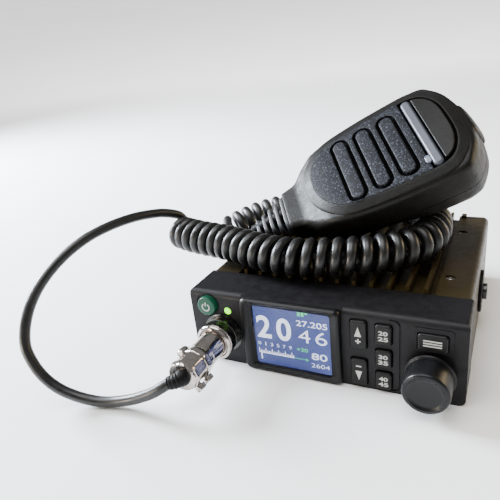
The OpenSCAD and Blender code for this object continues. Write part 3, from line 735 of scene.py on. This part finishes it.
# The meter's scale, and its green end with an arrow, then a battery sign
SCALE_LEFT, SCALE_RIGHT, SCALE_Z = -0.0267, -0.01, 0.0084
GREEN_MARKS = [
    bar(SCALE_RIGHT, -0.004, 0.0085, 0.0088),
    [(-0.0044, 0.0078), (-0.0032, 0.0086), (-0.0044, 0.0095)],
    bar(-0.0071, -0.0057, 0.0301, 0.0319), bar(-0.0053, -0.0041, 0.0301, 0.0319),
    bar(-0.0037, -0.0025, 0.0313, 0.0319),
]


def flat_mark(outline):
    """A thin print in an outline's shape, facing the front at y 0."""
    return on_front(plate("mark", [outline], 0, PRINT_THICK), 0)


def make_display():
    """The lit picture, its figures, and the clear window before it."""
    low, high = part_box("display_window")
    back_y = high.y
    screen_y = back_y - 0.00012
    mark_y = back_y - 0.0002
    w, h = high.x - low.x, high.z - low.z
    middle = centre_of("display_window")
    picture = plate("display_picture", [rounded_outline(middle.x, middle.z, w - 0.0004, h - 0.0004,
                                                        0.0004)], 0, 0.0001)
    piece("display_picture", on_front(picture, screen_y + 0.0001), "display_lit", "radio")
    white = [digits(*figure) for figure in FIGURES]
    for i, figure in enumerate("013579"):
        x = SCALE_LEFT - 0.0001 + 0.00295 * i
        edge = 0.0004 if figure == "1" else 0
        white.append(digits(figure, (x + edge, x + 0.0013 - edge), (0.0126, 0.0143), -0.00004))
    for i in range(22):
        tall = 0.0024 if i % 4 == 0 else 0.0013
        x = SCALE_LEFT + 0.00078 * i
        white.append(flat_mark(bar(x, x + 0.0003, SCALE_Z + 0.0002, SCALE_Z + 0.0002 + tall)))
    white.append(flat_mark(bar(SCALE_LEFT, SCALE_RIGHT, SCALE_Z, SCALE_Z + 0.0005)))
    green = [digits(*GREEN_FIGURE), *map(flat_mark, GREEN_MARKS)]
    for name, meshes, look in (("screen_figures", white, "screen_white"),
                               ("screen_marks", green, "screen_green")):
        mesh = joined(name, meshes)
        mesh.transform(Matrix.Translation((0, mark_y, 0)))
        piece(name, mesh, "display_lit", "radio", look=look)
    pane = plate("display_pane", [rounded_outline(middle.x, middle.z, w, h, 0.0006)], 0, 0.0005, 0.0001)
    piece("display_pane", on_front(pane, low.y + 0.0005), "window_clear", "radio", "display_window")


make_display()


def make_display_frame():
    """Frame round the window: rounded outside, and a dark slope down to the glass inside."""
    low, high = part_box("display_frame")
    # Each row: height above the panel, then how far in from the left, right, bottom and top, and the
    # corners' radius
    rows = [
        (0, 0, 0, 0, 0, 0.0026), (0.0014, 0, 0, 0, 0, 0.0026),
        (0.0021, 0.0002, 0.0002, 0.0002, 0.0002, 0.0025),
        (0.0026, 0.0006, 0.0006, 0.0006, 0.0006, 0.0023), (0.0028, 0.0012, 0.001, 0.0012, 0.0008, 0.002),
        (0.0028, 0.0034, 0.0013, 0.0022, 0.001, 0.002), (0.00265, 0.0037, 0.0016, 0.0024, 0.0012, 0.002),
        (0.0024, 0.004, 0.0019, 0.0025, 0.0014, 0.0018), (0.0012, 0.0054, 0.0045, 0.0029, 0.0033, 0.0012),
        (0, 0.0054, 0.0045, 0.0029, 0.0033, 0.0012),
    ]
    rings = []
    for rise, left, right, bottom, top, r in rows:
        x0, x1 = low.x + left, high.x - right
        z0, z1 = low.z + bottom, high.z - top
        outline = rounded_outline((x0 + x1) / 2, (z0 + z1) / 2, x1 - x0, z1 - z0, r, 6)
        rings.append([(x, high.y - rise, z) for x, z in outline])
    mesh = smooth(lofted("display_surround", rings, wrap=True), 28)
    piece("display_surround", mesh, "frame_plastic", "radio", "display_frame")


make_display_frame()


def make_key_marks():
    """White generic marks on the keys and the power button, with a painted glow."""
    def face(key):
        """The middle of a key's face in X and Z, and its y."""
        x, z = KEYS[key][:2]
        return x, z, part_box("key_" + key)[0].y

    x, z, y = face("up")
    z += 0.0004
    arrow = [(x - 0.0014, z - 0.001), (x + 0.0014, z - 0.001), (x, z + 0.0034)]
    printed("key_up_mark", [arrow, bar(x - 0.0011, x + 0.0011, z - 0.0035, z - 0.0029)], y, "key_up")
    printed("key_up_plus", [bar(x - 0.0003, x + 0.0003, z + low, z + low + 0.0007)
                            for low in (-0.0043, -0.0028)], y, "key_up")
    x, z, y = face("down")
    arrow = [(x - 0.0014, z + 0.0006), (x + 0.0014, z + 0.0006), (x, z - 0.0038)]
    printed("key_down_mark", [arrow, bar(x - 0.0011, x + 0.0011, z + 0.0026, z + 0.0032)], y, "key_down")
    for number, key in ((20, "upper"), (30, "middle"), (40, "lower")):
        x, z, y = face(key)
        mesh = joined("key_" + key + "_mark", [
            digits(str(number), (x - 0.0018, x + 0.0018), (z + 0.0001, z + 0.002), 0.00007),
            digits(str(number + 5), (x - 0.002, x + 0.002), (z - 0.0025, z - 0.0006), 0.00007),
        ])
        mesh.transform(Matrix.Translation((0, y - 0.00002, 0)))
        piece("key_" + key + "_mark", mesh, "key_plastic", "key_" + key, look="white_print")
    x, z, y = face("wide")
    printed("key_wide_mark", [bar(x - 0.0034, x + 0.0034, z + d - 0.00028, z + d + 0.00028)
                              for d in (-0.0011, 0, 0.0011)], y, "key_wide")
    c, y = centre_of("power_button"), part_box("power_button")[0].y
    arc = []
    for r, order in ((0.0021, 1), (0.0015, -1)):
        sweep = [math.radians(125 + 290 * i / 24) for i in range(25)][::order]
        arc += [(c.x + r * math.cos(a), c.z - 0.0002 + r * math.sin(a)) for a in sweep]
    printed("power_button_mark", [arc, bar(c.x - 0.0003, c.x + 0.0003, c.z + 0.0004, c.z + 0.0023)],
            y, "power_button")


def make_knob():
    """Smooth knob with a rounded rim and a shallow dish in its face."""
    face, base, at, r = turned("knob")[:4]
    profile = [(0.006, base), (r - 0.0004, base), (r, base - 0.0003), (r, base - 0.0007),
               (r - 0.0003, base - 0.0011), (r - 0.0007, base - 0.0013), (r - 0.0008, face + 0.0016)]
    profile += arc_profile(r - 0.0009, face + 0.0012, r - 0.0021, face)
    profile += [(r - 0.0026, face + 0.00002), (r - 0.0029, face + 0.00025), (r - 0.0034, face + 0.0007)]
    profile += [((r - 0.0036) * (1 - i / 12), face + 0.0008 + 0.0004 * (1 - (1 - i / 12) ** 2))
                for i in range(1, 12)]
    piece("knob_turned", lathed("knob_turned", profile, at, 120), "knob_plastic", "knob", "knob")


def make_power_cap():
    """Green cap of the power button, as round as it is high: its hidden flange is wider."""
    face, base, at, _, r = turned("power_button")
    profile = [(r - 0.0005, base), (r, face + 0.0022), (r - 0.0001, face + 0.001)]
    profile += arc_profile(r - 0.0001, face + 0.0008, r - 0.0006, face + 0.0002)
    profile += [((r - 0.0007) * (1 - i / 10), face + 0.00018 * (1 - i / 10) ** 2) for i in range(10)]
    cap = lathed("power_cap", profile, at, 72)
    piece("power_cap", cap, "button_green", "power_button", "power_button")


def make_status_lens():
    """Small domed lamp."""
    front, back, at = turned("status_led")[:3]
    r, foot = 0.0017, front + 0.0008
    dome = [(r - 0.0001, back), (r, foot)]
    dome += [(r * math.cos(a), foot - 0.0011 * math.sin(a)) for a in (TAU / 4 * i / 8 for i in range(1, 8))]
    piece("status_lens", lathed("status_lens", dome, at, 40), "led_green", "radio", "status_led")


make_key_marks()
make_knob()
make_power_cap()
make_status_lens()


# ---------------------------------------------------------------- plug

PLUG_AXIS = turned("plug_ring")[2]


def make_coupling_ring():
    """Ring with a darker knurled band and a rolled bright rim."""
    front, back, at, r = turned("plug_ring")[:4]

    def knurl(a, y, radius):
        if radius < r - 0.0001 or y < front + 0.0022 or y > back - 0.0004:
            return 0
        lean = 900 * (y - back)
        return -0.00028 * (1 - abs(math.sin(26 * a + lean)) * abs(math.sin(26 * a - lean)))

    rows = 30
    profile = [(0.0079, back), (r - 0.0003, back)]
    profile += [(r, back - 0.0003 - (back - front - 0.0026) * i / rows) for i in range(rows + 1)]
    profile += [(r - 0.0005, front + 0.002), (r - 0.0004, front + 0.0017), (r, front + 0.0013),
                (r, front + 0.0008), (r - 0.0003, front + 0.0003), (r - 0.0008, front),
                (0.0074, front), (0.0071, front + 0.0003), (0.0069, front + 0.001),
                (0.0064, front + 0.0012)]
    mesh = lathed("coupling_ring", profile, at, 312, knurl)
    ring = piece("coupling_ring", mesh, "nickel", "plug_ring", "plug_ring")
    ring.data.materials.append(LOOKS["knurled_nickel"])
    for face in ring.data.polygons:
        if front + 0.0022 < face.center.y < back - 0.0002:
            face.material_index = 1


def make_barrel():
    """Chrome barrel between the coupling ring and the cord clamp."""
    front, back = turned("plug_barrel")[:2]
    profile = [(0.0074, back), (0.0074, back - 0.0006), (0.0068, back - 0.0008), (0.0064, back - 0.0011),
               (0.0063, back - 0.002), (0.0063, front + 0.0028), (0.0061, front + 0.0026),
               (0.0061, front + 0.0022), (0.0063, front + 0.002), (0.0063, front + 0.0004),
               (0.006, front)]
    piece("barrel", lathed("barrel", profile, PLUG_AXIS, 96), "nickel", "radio", "plug_barrel")


def make_clamp():
    """Cord clamp with flats round it, and a boss for its screw."""
    front, back = turned("plug_clamp")[:2]
    profile = [(0.007, back), (0.0072, back - 0.0003), (0.0072, back - 0.0036), (0.007, back - 0.004),
               (0.0067, back - 0.0041), (0.0066, back - 0.0046), (0.0066, front + 0.003),
               (0.0071, front + 0.0026), (0.0072, front + 0.002), (0.0071, front + 0.0014),
               (0.0067, front + 0.001), (0.0066, front + 0.0004), (0.0062, front), (0.005, front)]

    def flats(a, y, radius):
        if radius < 0.0064:
            return 0
        lobe = abs((a * 8 / TAU) % 1 - 0.5) * 2
        return -0.00035 * (1 - lobe)

    lug = [(0.0009, -0.0026), (0.0017, -0.0023), (0.0021, -0.0015), (0.0021, 0.0015), (0.0017, 0.0023),
           (0.0009, 0.0026)]
    x, z = PLUG_AXIS
    boss = lathed("boss", [(r, back - 0.003 + y) for r, y in lug], (x - 0.005, z + 0.0047), 32)
    clamp = joined("cord_clamp", [lathed("clamp", profile, PLUG_AXIS, 96, flats), boss])
    piece("cord_clamp", clamp, "nickel", "radio", "plug_clamp")
    softened("plug_screws", "radio", 0.00035, 3)


def make_boot():
    """Ribbed rubber boot that bends with the cord."""
    front, (x, z) = turned("plug_clamp")[0], PLUG_AXIS
    bend = [(x, front + 0.004, z), (x, front - 0.0002, z), (x - 0.0015, front - 0.0024, z - 0.0004),
            LEAD_ROUTE[0]]
    line = through(bend, 10)

    def boot_radius(i):
        taper = 0.0041 + (0.0029 - 0.0041) * i / (len(line) - 1)
        rib = 0.0003 * (0.5 + 0.5 * math.cos(TAU * i / 4)) if i > 12 else 0
        return taper - rib

    boot = tube_mesh("cord_boot", line, boot_radius, 28)
    piece("cord_boot", boot, "rubber_black", "radio", "plug_boot")


make_coupling_ring()
make_barrel()
make_clamp()
make_boot()


# ---------------------------------------------------------------- microphone

# Its own frame: U towards its top end, V towards the talk switch, N out of its face
MIC_AT = Vector((0.0098, 0.0046, 0.08285))
MIC_TURN = (
    Matrix.Rotation(math.radians(19.65), 4, "Z")
    @ Matrix.Rotation(math.radians(-24.1), 4, "Y")
    @ Matrix.Rotation(math.radians(29.5), 4, "X")
)
ON_MIC = Matrix.Translation(MIC_AT) @ MIC_TURN
SEAM = -0.0145
# Stations along it: [along, half width, face, back, face round, back round]
STATIONS = [
    (-0.048, 0.0125, -0.0045, -0.018, 0.004, 0.006), (-0.0415, 0.014, -0.0045, -0.0195, 0.004, 0.007),
    (-0.034, 0.02, -0.0025, -0.02, 0.004, 0.008), (-0.027, 0.0232, -0.0005, -0.02, 0.003, 0.008),
    (-0.02, 0.025, 0, -0.02, 0.003, 0.008), (-0.008, 0.0268, 0, -0.021, 0.003, 0.008),
    (0.003, 0.0278, 0, -0.0245, 0.003, 0.008), (0.014, 0.0282, 0, -0.028, 0.003, 0.008),
    (0.029, 0.0285, 0, -0.0285, 0.003, 0.008), (0.034, 0.0275, 0, -0.028, 0.003, 0.008),
    (0.0385, 0.023, -0.0003, -0.0265, 0.003, 0.008), (0.0425, 0.0165, -0.0015, -0.023, 0.003, 0.007),
    (0.0445, 0.009, -0.0035, -0.018, 0.003, 0.006),
]
FACE_TOP = 0.0021
# The talk switch's reach along it and out of its face
TALK_U = (0.0042, 0.0288)
TALK_N = (-0.0112, -0.0022)


def slope(k, c):
    """How fast value c of the sections changes at station k; 0 where it turns back."""
    def rise(a, b):
        return (STATIONS[b][c] - STATIONS[a][c]) / (STATIONS[b][0] - STATIONS[a][0])

    if k == 0:
        return rise(0, 1)
    if k == len(STATIONS) - 1:
        return rise(k - 1, k)
    left, right = rise(k - 1, k), rise(k, k + 1)
    return 2 * left * right / (left + right) if left * right > 0 else 0


def station(u):
    """The microphone's section at u, smoothly between its stations."""
    i = 0
    while i < len(STATIONS) - 2 and STATIONS[i + 1][0] < u:
        i += 1
    a, b = STATIONS[i], STATIONS[i + 1]
    h = b[0] - a[0]
    t = (u - a[0]) / h
    return [(2 * t ** 3 - 3 * t * t + 1) * a[c] + (t ** 3 - 2 * t * t + t) * slope(i, c) * h
            + (3 * t * t - 2 * t ** 3) * b[c] + (t ** 3 - t * t) * slope(i + 1, c) * h
            for c in range(1, 6)]


NECK_ROUND = 0.0006
HEAD_ROUND = 0.0022
HEAD_SWEEP = math.radians(68)
SHELL_ROWS = 84


def shell_rows():
    """Sections along the microphone, with round ends: [u, share of full size, section]."""
    first, last = STATIONS[0][0], STATIONS[-1][0]
    rows = []
    for i in range(4):
        a = TAU / 4 * i / 4
        rows.append((first - NECK_ROUND * math.cos(a), 0.9 + 0.1 * math.sin(a), station(first)))
    for i in range(SHELL_ROWS + 1):
        u = first + (last - first) * i / SHELL_ROWS
        rows.append((u, 1, station(u)))
    for i in range(1, 9):
        a = HEAD_SWEEP * i / 8
        rows.append((last + HEAD_ROUND * math.sin(a), math.cos(a), station(last)))
    return rows


FULLER = 0.0028


def fuller(v, n):
    """The side away from the talk switch is a little fuller, most of all at the face."""
    if v >= 0:
        return v
    return v * (1 + FULLER / 0.026 * min(1, max(0.1, (n + 0.028) / 0.016)))


def half_section(w, edge, far, r, share):
    """Half of a section, from the seam on one side over the far side to the seam on the other."""
    w, r = w * share, r * share
    far = SEAM + (far - SEAM) * share
    way = 1 if far > SEAM else -1
    r = min(r, abs(far - edge) * 0.95, w * 0.95)
    points = [(w, edge + (far - way * r - edge) * i / 4) for i in range(4)]
    for i in range(9):
        a = TAU / 4 * i / 8
        points.append((w - r + r * math.cos(a), far - way * r + way * r * math.sin(a)))
    side = points[:]
    points += [((w - r) * (1 - 2 * i / 12), far) for i in range(1, 12)]
    points += [(-v, n) for v, n in side][::-1]
    return [(fuller(v, n), n) for v, n in points]


def shell(name, upper):
    """The front or the back shell, as a skin with real thickness."""
    verts = []
    faces = []
    rows = shell_rows()
    count = 0
    for u, share, (w, top, bottom, rt, rb) in rows:
        edge = SEAM + (0.0002 if upper else -0.0002)
        far, r = (top, rt) if upper else (bottom, rb)
        outline = half_section(w, edge, far, r, share)
        count = len(outline)
        lean = min(1, max(0, (u - 0.02) / 0.024)) ** 1.5
        verts += [(u + lean * (0.001 + 0.2 * (SEAM - n)), v, n) for v, n in outline]
    for i in range(len(rows) - 1):
        for k in range(count - 1):
            a = i * count + k
            faces.append((a, a + 1, a + 1 + count, a + count))
    faces.append(tuple(range(count)))
    faces.append(tuple((len(rows) - 1) * count + k for k in range(count))[::-1])
    mesh = mesh_from(name, verts, faces)
    fix_outward(mesh, Vector((0, 0, SEAM)))
    mesh.transform(ON_MIC)
    return smooth(mesh, 45)


def fix_outward(mesh, inside):
    """Turns the faces of an open skin away from a point inside it."""
    with edited(mesh) as shape:
        bmesh.ops.recalc_face_normals(shape, faces=shape.faces)
        score = 0
        for face in shape.faces:
            score += (face.calc_center_median() - inside).dot(face.normal) * face.calc_area()
        if score < 0:
            bmesh.ops.reverse_faces(shape, faces=shape.faces)


def bake_modifiers(target):
    """Gives a piece its modified mesh for good."""
    graph = bpy.context.evaluated_depsgraph_get()
    graph.update()
    mesh = bpy.data.meshes.new_from_object(target.evaluated_get(graph))
    target.modifiers.clear()
    mesh.name = target.data.name + "_cut"
    target.data = mesh


def cut(target, meshes):
    """Cuts meshes out of a piece."""
    tools = []
    for mesh in meshes:
        tool = bpy.data.objects.new("tool", mesh)
        bpy.context.scene.collection.objects.link(tool)
        step = target.modifiers.new("cut", "BOOLEAN")
        step.operation = "DIFFERENCE"
        step.solver = "EXACT"
        step.object = tool
        tools.append(tool)
    bake_modifiers(target)
    for tool in tools:
        bpy.data.objects.remove(tool)


SHELL_THICK = 0.0015
TALK_GAP = 0.0004
SCREW_HOLE_R = 0.0024
# Case screws: [u, v, n of the bottom of the hole]
SCREW_HOLES = [(-0.03, 0, -0.0197), (0.03, 0.017, -0.0277), (0.03, -0.017, -0.0277)]


def make_shells():
    """Front and back shell, with the talk switch's opening and the screws' holes."""
    front = piece("mic_front_form", shell("mic_front_form", True), "mic_plastic", None, "mic_front_shell")
    back = piece("mic_back_form", shell("mic_back_form", False), "mic_plastic", None, "mic_back_shell")
    for made in (front, back):
        skin = made.modifiers.new("skin", "SOLIDIFY")
        skin.thickness = SHELL_THICK
        skin.offset = -1
        bake_modifiers(made)
    low_u, high_u = TALK_U[0] - TALK_GAP, TALK_U[1] + TALK_GAP
    opening = rounded_outline((low_u + high_u) / 2, 0.031, high_u - low_u, 0.018, 0.0001, 4)
    slot = plate("slot", [opening], TALK_N[0] - TALK_GAP, TALK_N[1] + TALK_GAP)
    holes = [plate("hole", [circle_outline(u, v, SCREW_HOLE_R, 32)], -0.04, top)
             for u, v, top in SCREW_HOLES]
    for tool in (slot, *holes):
        tool.transform(ON_MIC)
    cut(front, [slot])
    cut(back, holes)
    for made in (front, back):
        smooth(made.data, 40)
        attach(made, "microphone")


def face_outline(inset, count=22):
    """Outline of the raised face, following the shell's own width, drawn in by inset.

    Its slope is broader on the side of the talk switch.
    """
    neck, head = -0.013, 0.018
    neck_end, head_end = -0.0348 + inset * 1.25, 0.0405 - inset
    points = []

    def half(u):
        return station(u)[0] - 0.0011 - inset

    for i in range(count + 1):
        a = TAU / 4 * i / count
        u = head + (head_end - head) * math.sin(a) ** (2 / 3)
        points.append((u, half(min(u, 0.034)) * math.cos(a) ** (2 / 3) if i < count else 0))
    side = points[::-1]
    flat = [(head + (neck - head) * i / 10, half(head + (neck - head) * i / 10)) for i in range(1, 10)]
    back = []
    for i in range(count + 1):
        a = TAU / 4 * i / count
        u = neck + (neck_end - neck) * math.sin(a) ** (2 / 2.5)
        back.append((u, half(u) * math.cos(a) ** (2 / 2.5) if i < count else 0))
    upper = side + flat + back
    lower = [(u, fuller(-v, 0)) for u, v in upper[1:-1]][::-1]
    return [(u, v * (1 - 20 * inset)) for u, v in upper] + lower


# Middle of the face across it, and its bars: places along, half length, width, groove round each
FACE_V = -0.0028
BAR_U = (-0.012, 0, 0.012)
BAR_HALF = 0.0193
BAR_W = 0.0062
GROOVE = 0.0017
RIB_U = 0.0235


def capsule(cx, half, width):
    """Outline of a bar across the face with round ends."""
    return rounded_outline(cx, FACE_V, width, 2 * half, width / 2 - 0.00001, 12)


def clipped(outline, low, high):
    """The part of a closed outline between two values of u."""
    made = []
    for (u0, v0), (u1, v1) in zip(outline, outline[1:] + outline[:1]):
        inside0, inside1 = low <= u0 <= high, low <= u1 <= high
        if inside0:
            made.append((u0, v0))
        if inside0 != inside1:
            limit = low if (u0 < low or u1 < low) else high
            t = (limit - u0) / (u1 - u0)
            made.append((limit, v0 + (v1 - v0) * t))
    return made


def mic_piece(name, mesh, slot, *replaced, body="microphone", look=None):
    """A piece made in the microphone's own frame."""
    mesh.transform(ON_MIC)
    piece(name, mesh, slot, body, *replaced, look=look)


def make_face():
    """The raised face: sloping sides, textured panel with three bars, rib and blank badge."""
    rim = 0.0036
    base = FACE_TOP - 0.0016
    levels = [(0, -0.0012), (0, 0), (0.00012, 0.00018), (0.0006, 0.00042),
              (rim - 0.0008, FACE_TOP - 0.00065), (rim - 0.0003, FACE_TOP - 0.0004),
              (rim, FACE_TOP - 0.0003), (rim + 0.0003, FACE_TOP - 0.0003),
              (rim + 0.0004, FACE_TOP - 0.0013)]
    rings = [[(u, v, n) for u, v in face_outline(inset)] for inset, n in levels]
    mic_piece("mic_face_form", smooth(lofted("mic_face_form", rings), 35), "mic_plastic", "mic_face_cover")
    # A dark floor under the face's grooves: painted shade
    pit = plate("pit", [face_outline(rim + 0.0001)], base, FACE_TOP - 0.0012)
    mic_piece("mic_face_floor", pit, "mic_plastic", look="pit_matt")

    field = clipped(face_outline(rim + 0.0002), -1, RIB_U - 0.0032)
    grooves = [capsule(u, BAR_HALF + GROOVE, BAR_W + 2 * GROOVE) for u in BAR_U]
    parts = [plate("field", [field, *grooves], base, FACE_TOP, 0.00022, 2)]
    for u in BAR_U:
        parts.append(plate("bar", [capsule(u, BAR_HALF, BAR_W)], base, FACE_TOP + 0.0006, 0.0006, 3))
    mic_piece("mic_panel_form", joined("mic_panel_form", parts), "mic_panel", "mic_face_panel")

    rib = plate("rib", [capsule(RIB_U, 0.0224, 0.0044)], base, FACE_TOP + 0.0012, 0.0012, 6)
    mic_piece("mic_rib", rib, "mic_plastic", look="rib_satin")
    badge = clipped(face_outline(rim + 0.0015), RIB_U + 0.003, 1)
    badge_plate = plate("badge", [badge], base, FACE_TOP + 0.0005, 0.0005, 4)
    mic_piece("mic_badge_plate", badge_plate, "mic_plastic")

    lens = plate("lamp", [rounded_outline(0.0202, -0.0202, 0.0026, 0.0046, 0.00129, 8)],
                 FACE_TOP - 0.0002, FACE_TOP + 0.0009, 0.0005, 4)
    mic_piece("mic_lamp_lens", lens, "lamp_clear", "mic_lamp")


def make_talk_switch():
    """The talk switch's long key on the side."""
    low_u, high_u = TALK_U
    outline = [(low_u, 0.0245), (high_u, 0.0245), (high_u, 0.029), (high_u - 0.0009, 0.0299),
               (low_u + 0.006, 0.03), (low_u + 0.0009, 0.0293), (low_u, 0.0284)]
    mesh = plate("talk_key", [outline[::-1]], TALK_N[0], TALK_N[1], 0.0007, 3)
    mic_piece("talk_key", mesh, "mic_plastic", "mic_ptt", body="talk_switch")


def make_strain_relief():
    """Five slats on a tapering sleeve."""
    start, middle_n = -0.048, -0.01
    parts = []
    along = Matrix.Rotation(-TAU / 4, 4, "Y")
    for i in range(5):
        half = 0.0115 - 0.0016 * i
        tall = 0.0112 - 0.001 * i
        outline = []
        for k in range(48):
            a = TAU * k / 48
            c, s = math.cos(a), math.sin(a)
            outline.append((tall / 2 * math.copysign(abs(c) ** 0.55, c),
                            half * math.copysign(abs(s) ** 0.55, s)))
        slat = plate("slat", [outline], 0, 0.0019, 0.0005, 3)
        slat.transform(Matrix.Translation((start - 0.0005 - 0.0039 * i, -0.001, middle_n)) @ along)
        parts.append(slat)
    rings = []
    rows, sides = 22, 32
    for i in range(rows + 1):
        t = i / rows
        radius = 0.005 + (0.0034 - 0.005) * t
        angles = [TAU * k / sides for k in range(sides)]
        rings.append([(start + 0.001 - 0.022 * t, radius * math.cos(a), middle_n + radius * math.sin(a))
                      for a in angles])
    mic_piece("relief_sleeve", smooth(lofted("relief_sleeve", rings)), "rubber_black")
    slats = joined("relief_slats", parts)
    # The slats carry painted light: a lighter look than the sleeve's rubber
    mic_piece("relief_slats", slats, "rubber_black", "strain_relief", look="slat_rubber")


make_shells()
make_face()
make_talk_switch()
make_strain_relief()


# ---------------------------------------------------------------- stage and lights

def make_stage():
    """Plain pale floor, sized from the object, that rises gently far away."""
    low, high = cad_box
    size = (high - low).length
    rings = [(0.5, 0), (2, 0), (7, 0), (8, 0.02), (9, 0.09), (11, 0.4), (16, 1.4), (22, 2.8)]
    sides = 96
    verts = [(0, 0, 0)]
    for reach, rise in rings:
        verts += [(size * x, size * y, size * rise) for x, y in circle_outline(0, 0, reach, sides)]
    faces = [(0, 1 + k, 1 + (k + 1) % sides) for k in range(sides)]
    for row in range(len(rings) - 1):
        for k in range(sides):
            a, b = 1 + row * sides + k, 1 + row * sides + (k + 1) % sides
            faces.append((a, a + sides, b + sides, b))
    mesh = smooth(mesh_from("floor", verts, faces))
    floor = bpy.data.objects.new("floor", mesh)
    bpy.context.scene.collection.objects.link(floor)
    look = Look("pale_floor")
    shade = look.mixed(look.between(look.noise(0.3, 2), 0, 1), (0.93, 0.93, 0.93), (0.9, 0.9, 0.9))
    look.link(shade, look.shader.inputs["Base Color"])
    look.link(look.between(look.noise(0.1, 2), 0.8, 0.9), look.shader.inputs["Roughness"])
    look.fixed(Specular_IOR_Level=0.1)
    mesh.materials.append(look.material)
    floor.location.z = -0.00005


# Soft lights: [place, what it points at, size, power, colour]
AREA_LIGHTS = {
    "cool_left": ((-0.95, 0.02, 0.43), (0, 0, 0.05), (0.32, 0.42), 62, (0.84, 0.91, 1)),
    "warm_right": ((0.8, 0.5, 0.35), (0, 0, 0.03), (0.4, 0.35), 5, (1, 0.78, 0.45)),
    "warm_front": ((-0.62, -0.72, 0.1), (0, 0, 0.05), (0.25, 0.15), 6, (1, 0.86, 0.68)),
    "far_wash": ((-0.6, 1.3, 1.3), (-1.1, 3.6, 0), (2.2, 0.8), 55, (1, 1, 1)),
}
SUN_HEADING = (0.22, 0.2, -1)


def light(name, kind, heading, power):
    """A light that shines along a heading."""
    data = bpy.data.lights.new(name, kind)
    data.energy = power
    made = bpy.data.objects.new(name, data)
    bpy.context.scene.collection.objects.link(made)
    made.rotation_euler = Vector(heading).to_track_quat("-Z", "Y").to_euler()
    return made


def make_lights():
    """Studio lights, a broad soft sky and a pale world."""
    for name, (place, target, size, power, colour) in AREA_LIGHTS.items():
        made = light(name, "AREA", Vector(target) - Vector(place), power)
        made.location = place
        made.data.shape = "RECTANGLE"
        made.data.size, made.data.size_y = size
        made.data.color = colour
    light("sky_soft", "SUN", SUN_HEADING, 3.6).data.angle = math.radians(50)
    world = bpy.data.worlds.new("studio")
    bpy.context.scene.world = world
    world.use_nodes = True
    background = world.node_tree.nodes["Background"]
    background.inputs["Color"].default_value = (1, 1, 1, 1)
    background.inputs["Strength"].default_value = 0.35


make_stage()
make_lights()
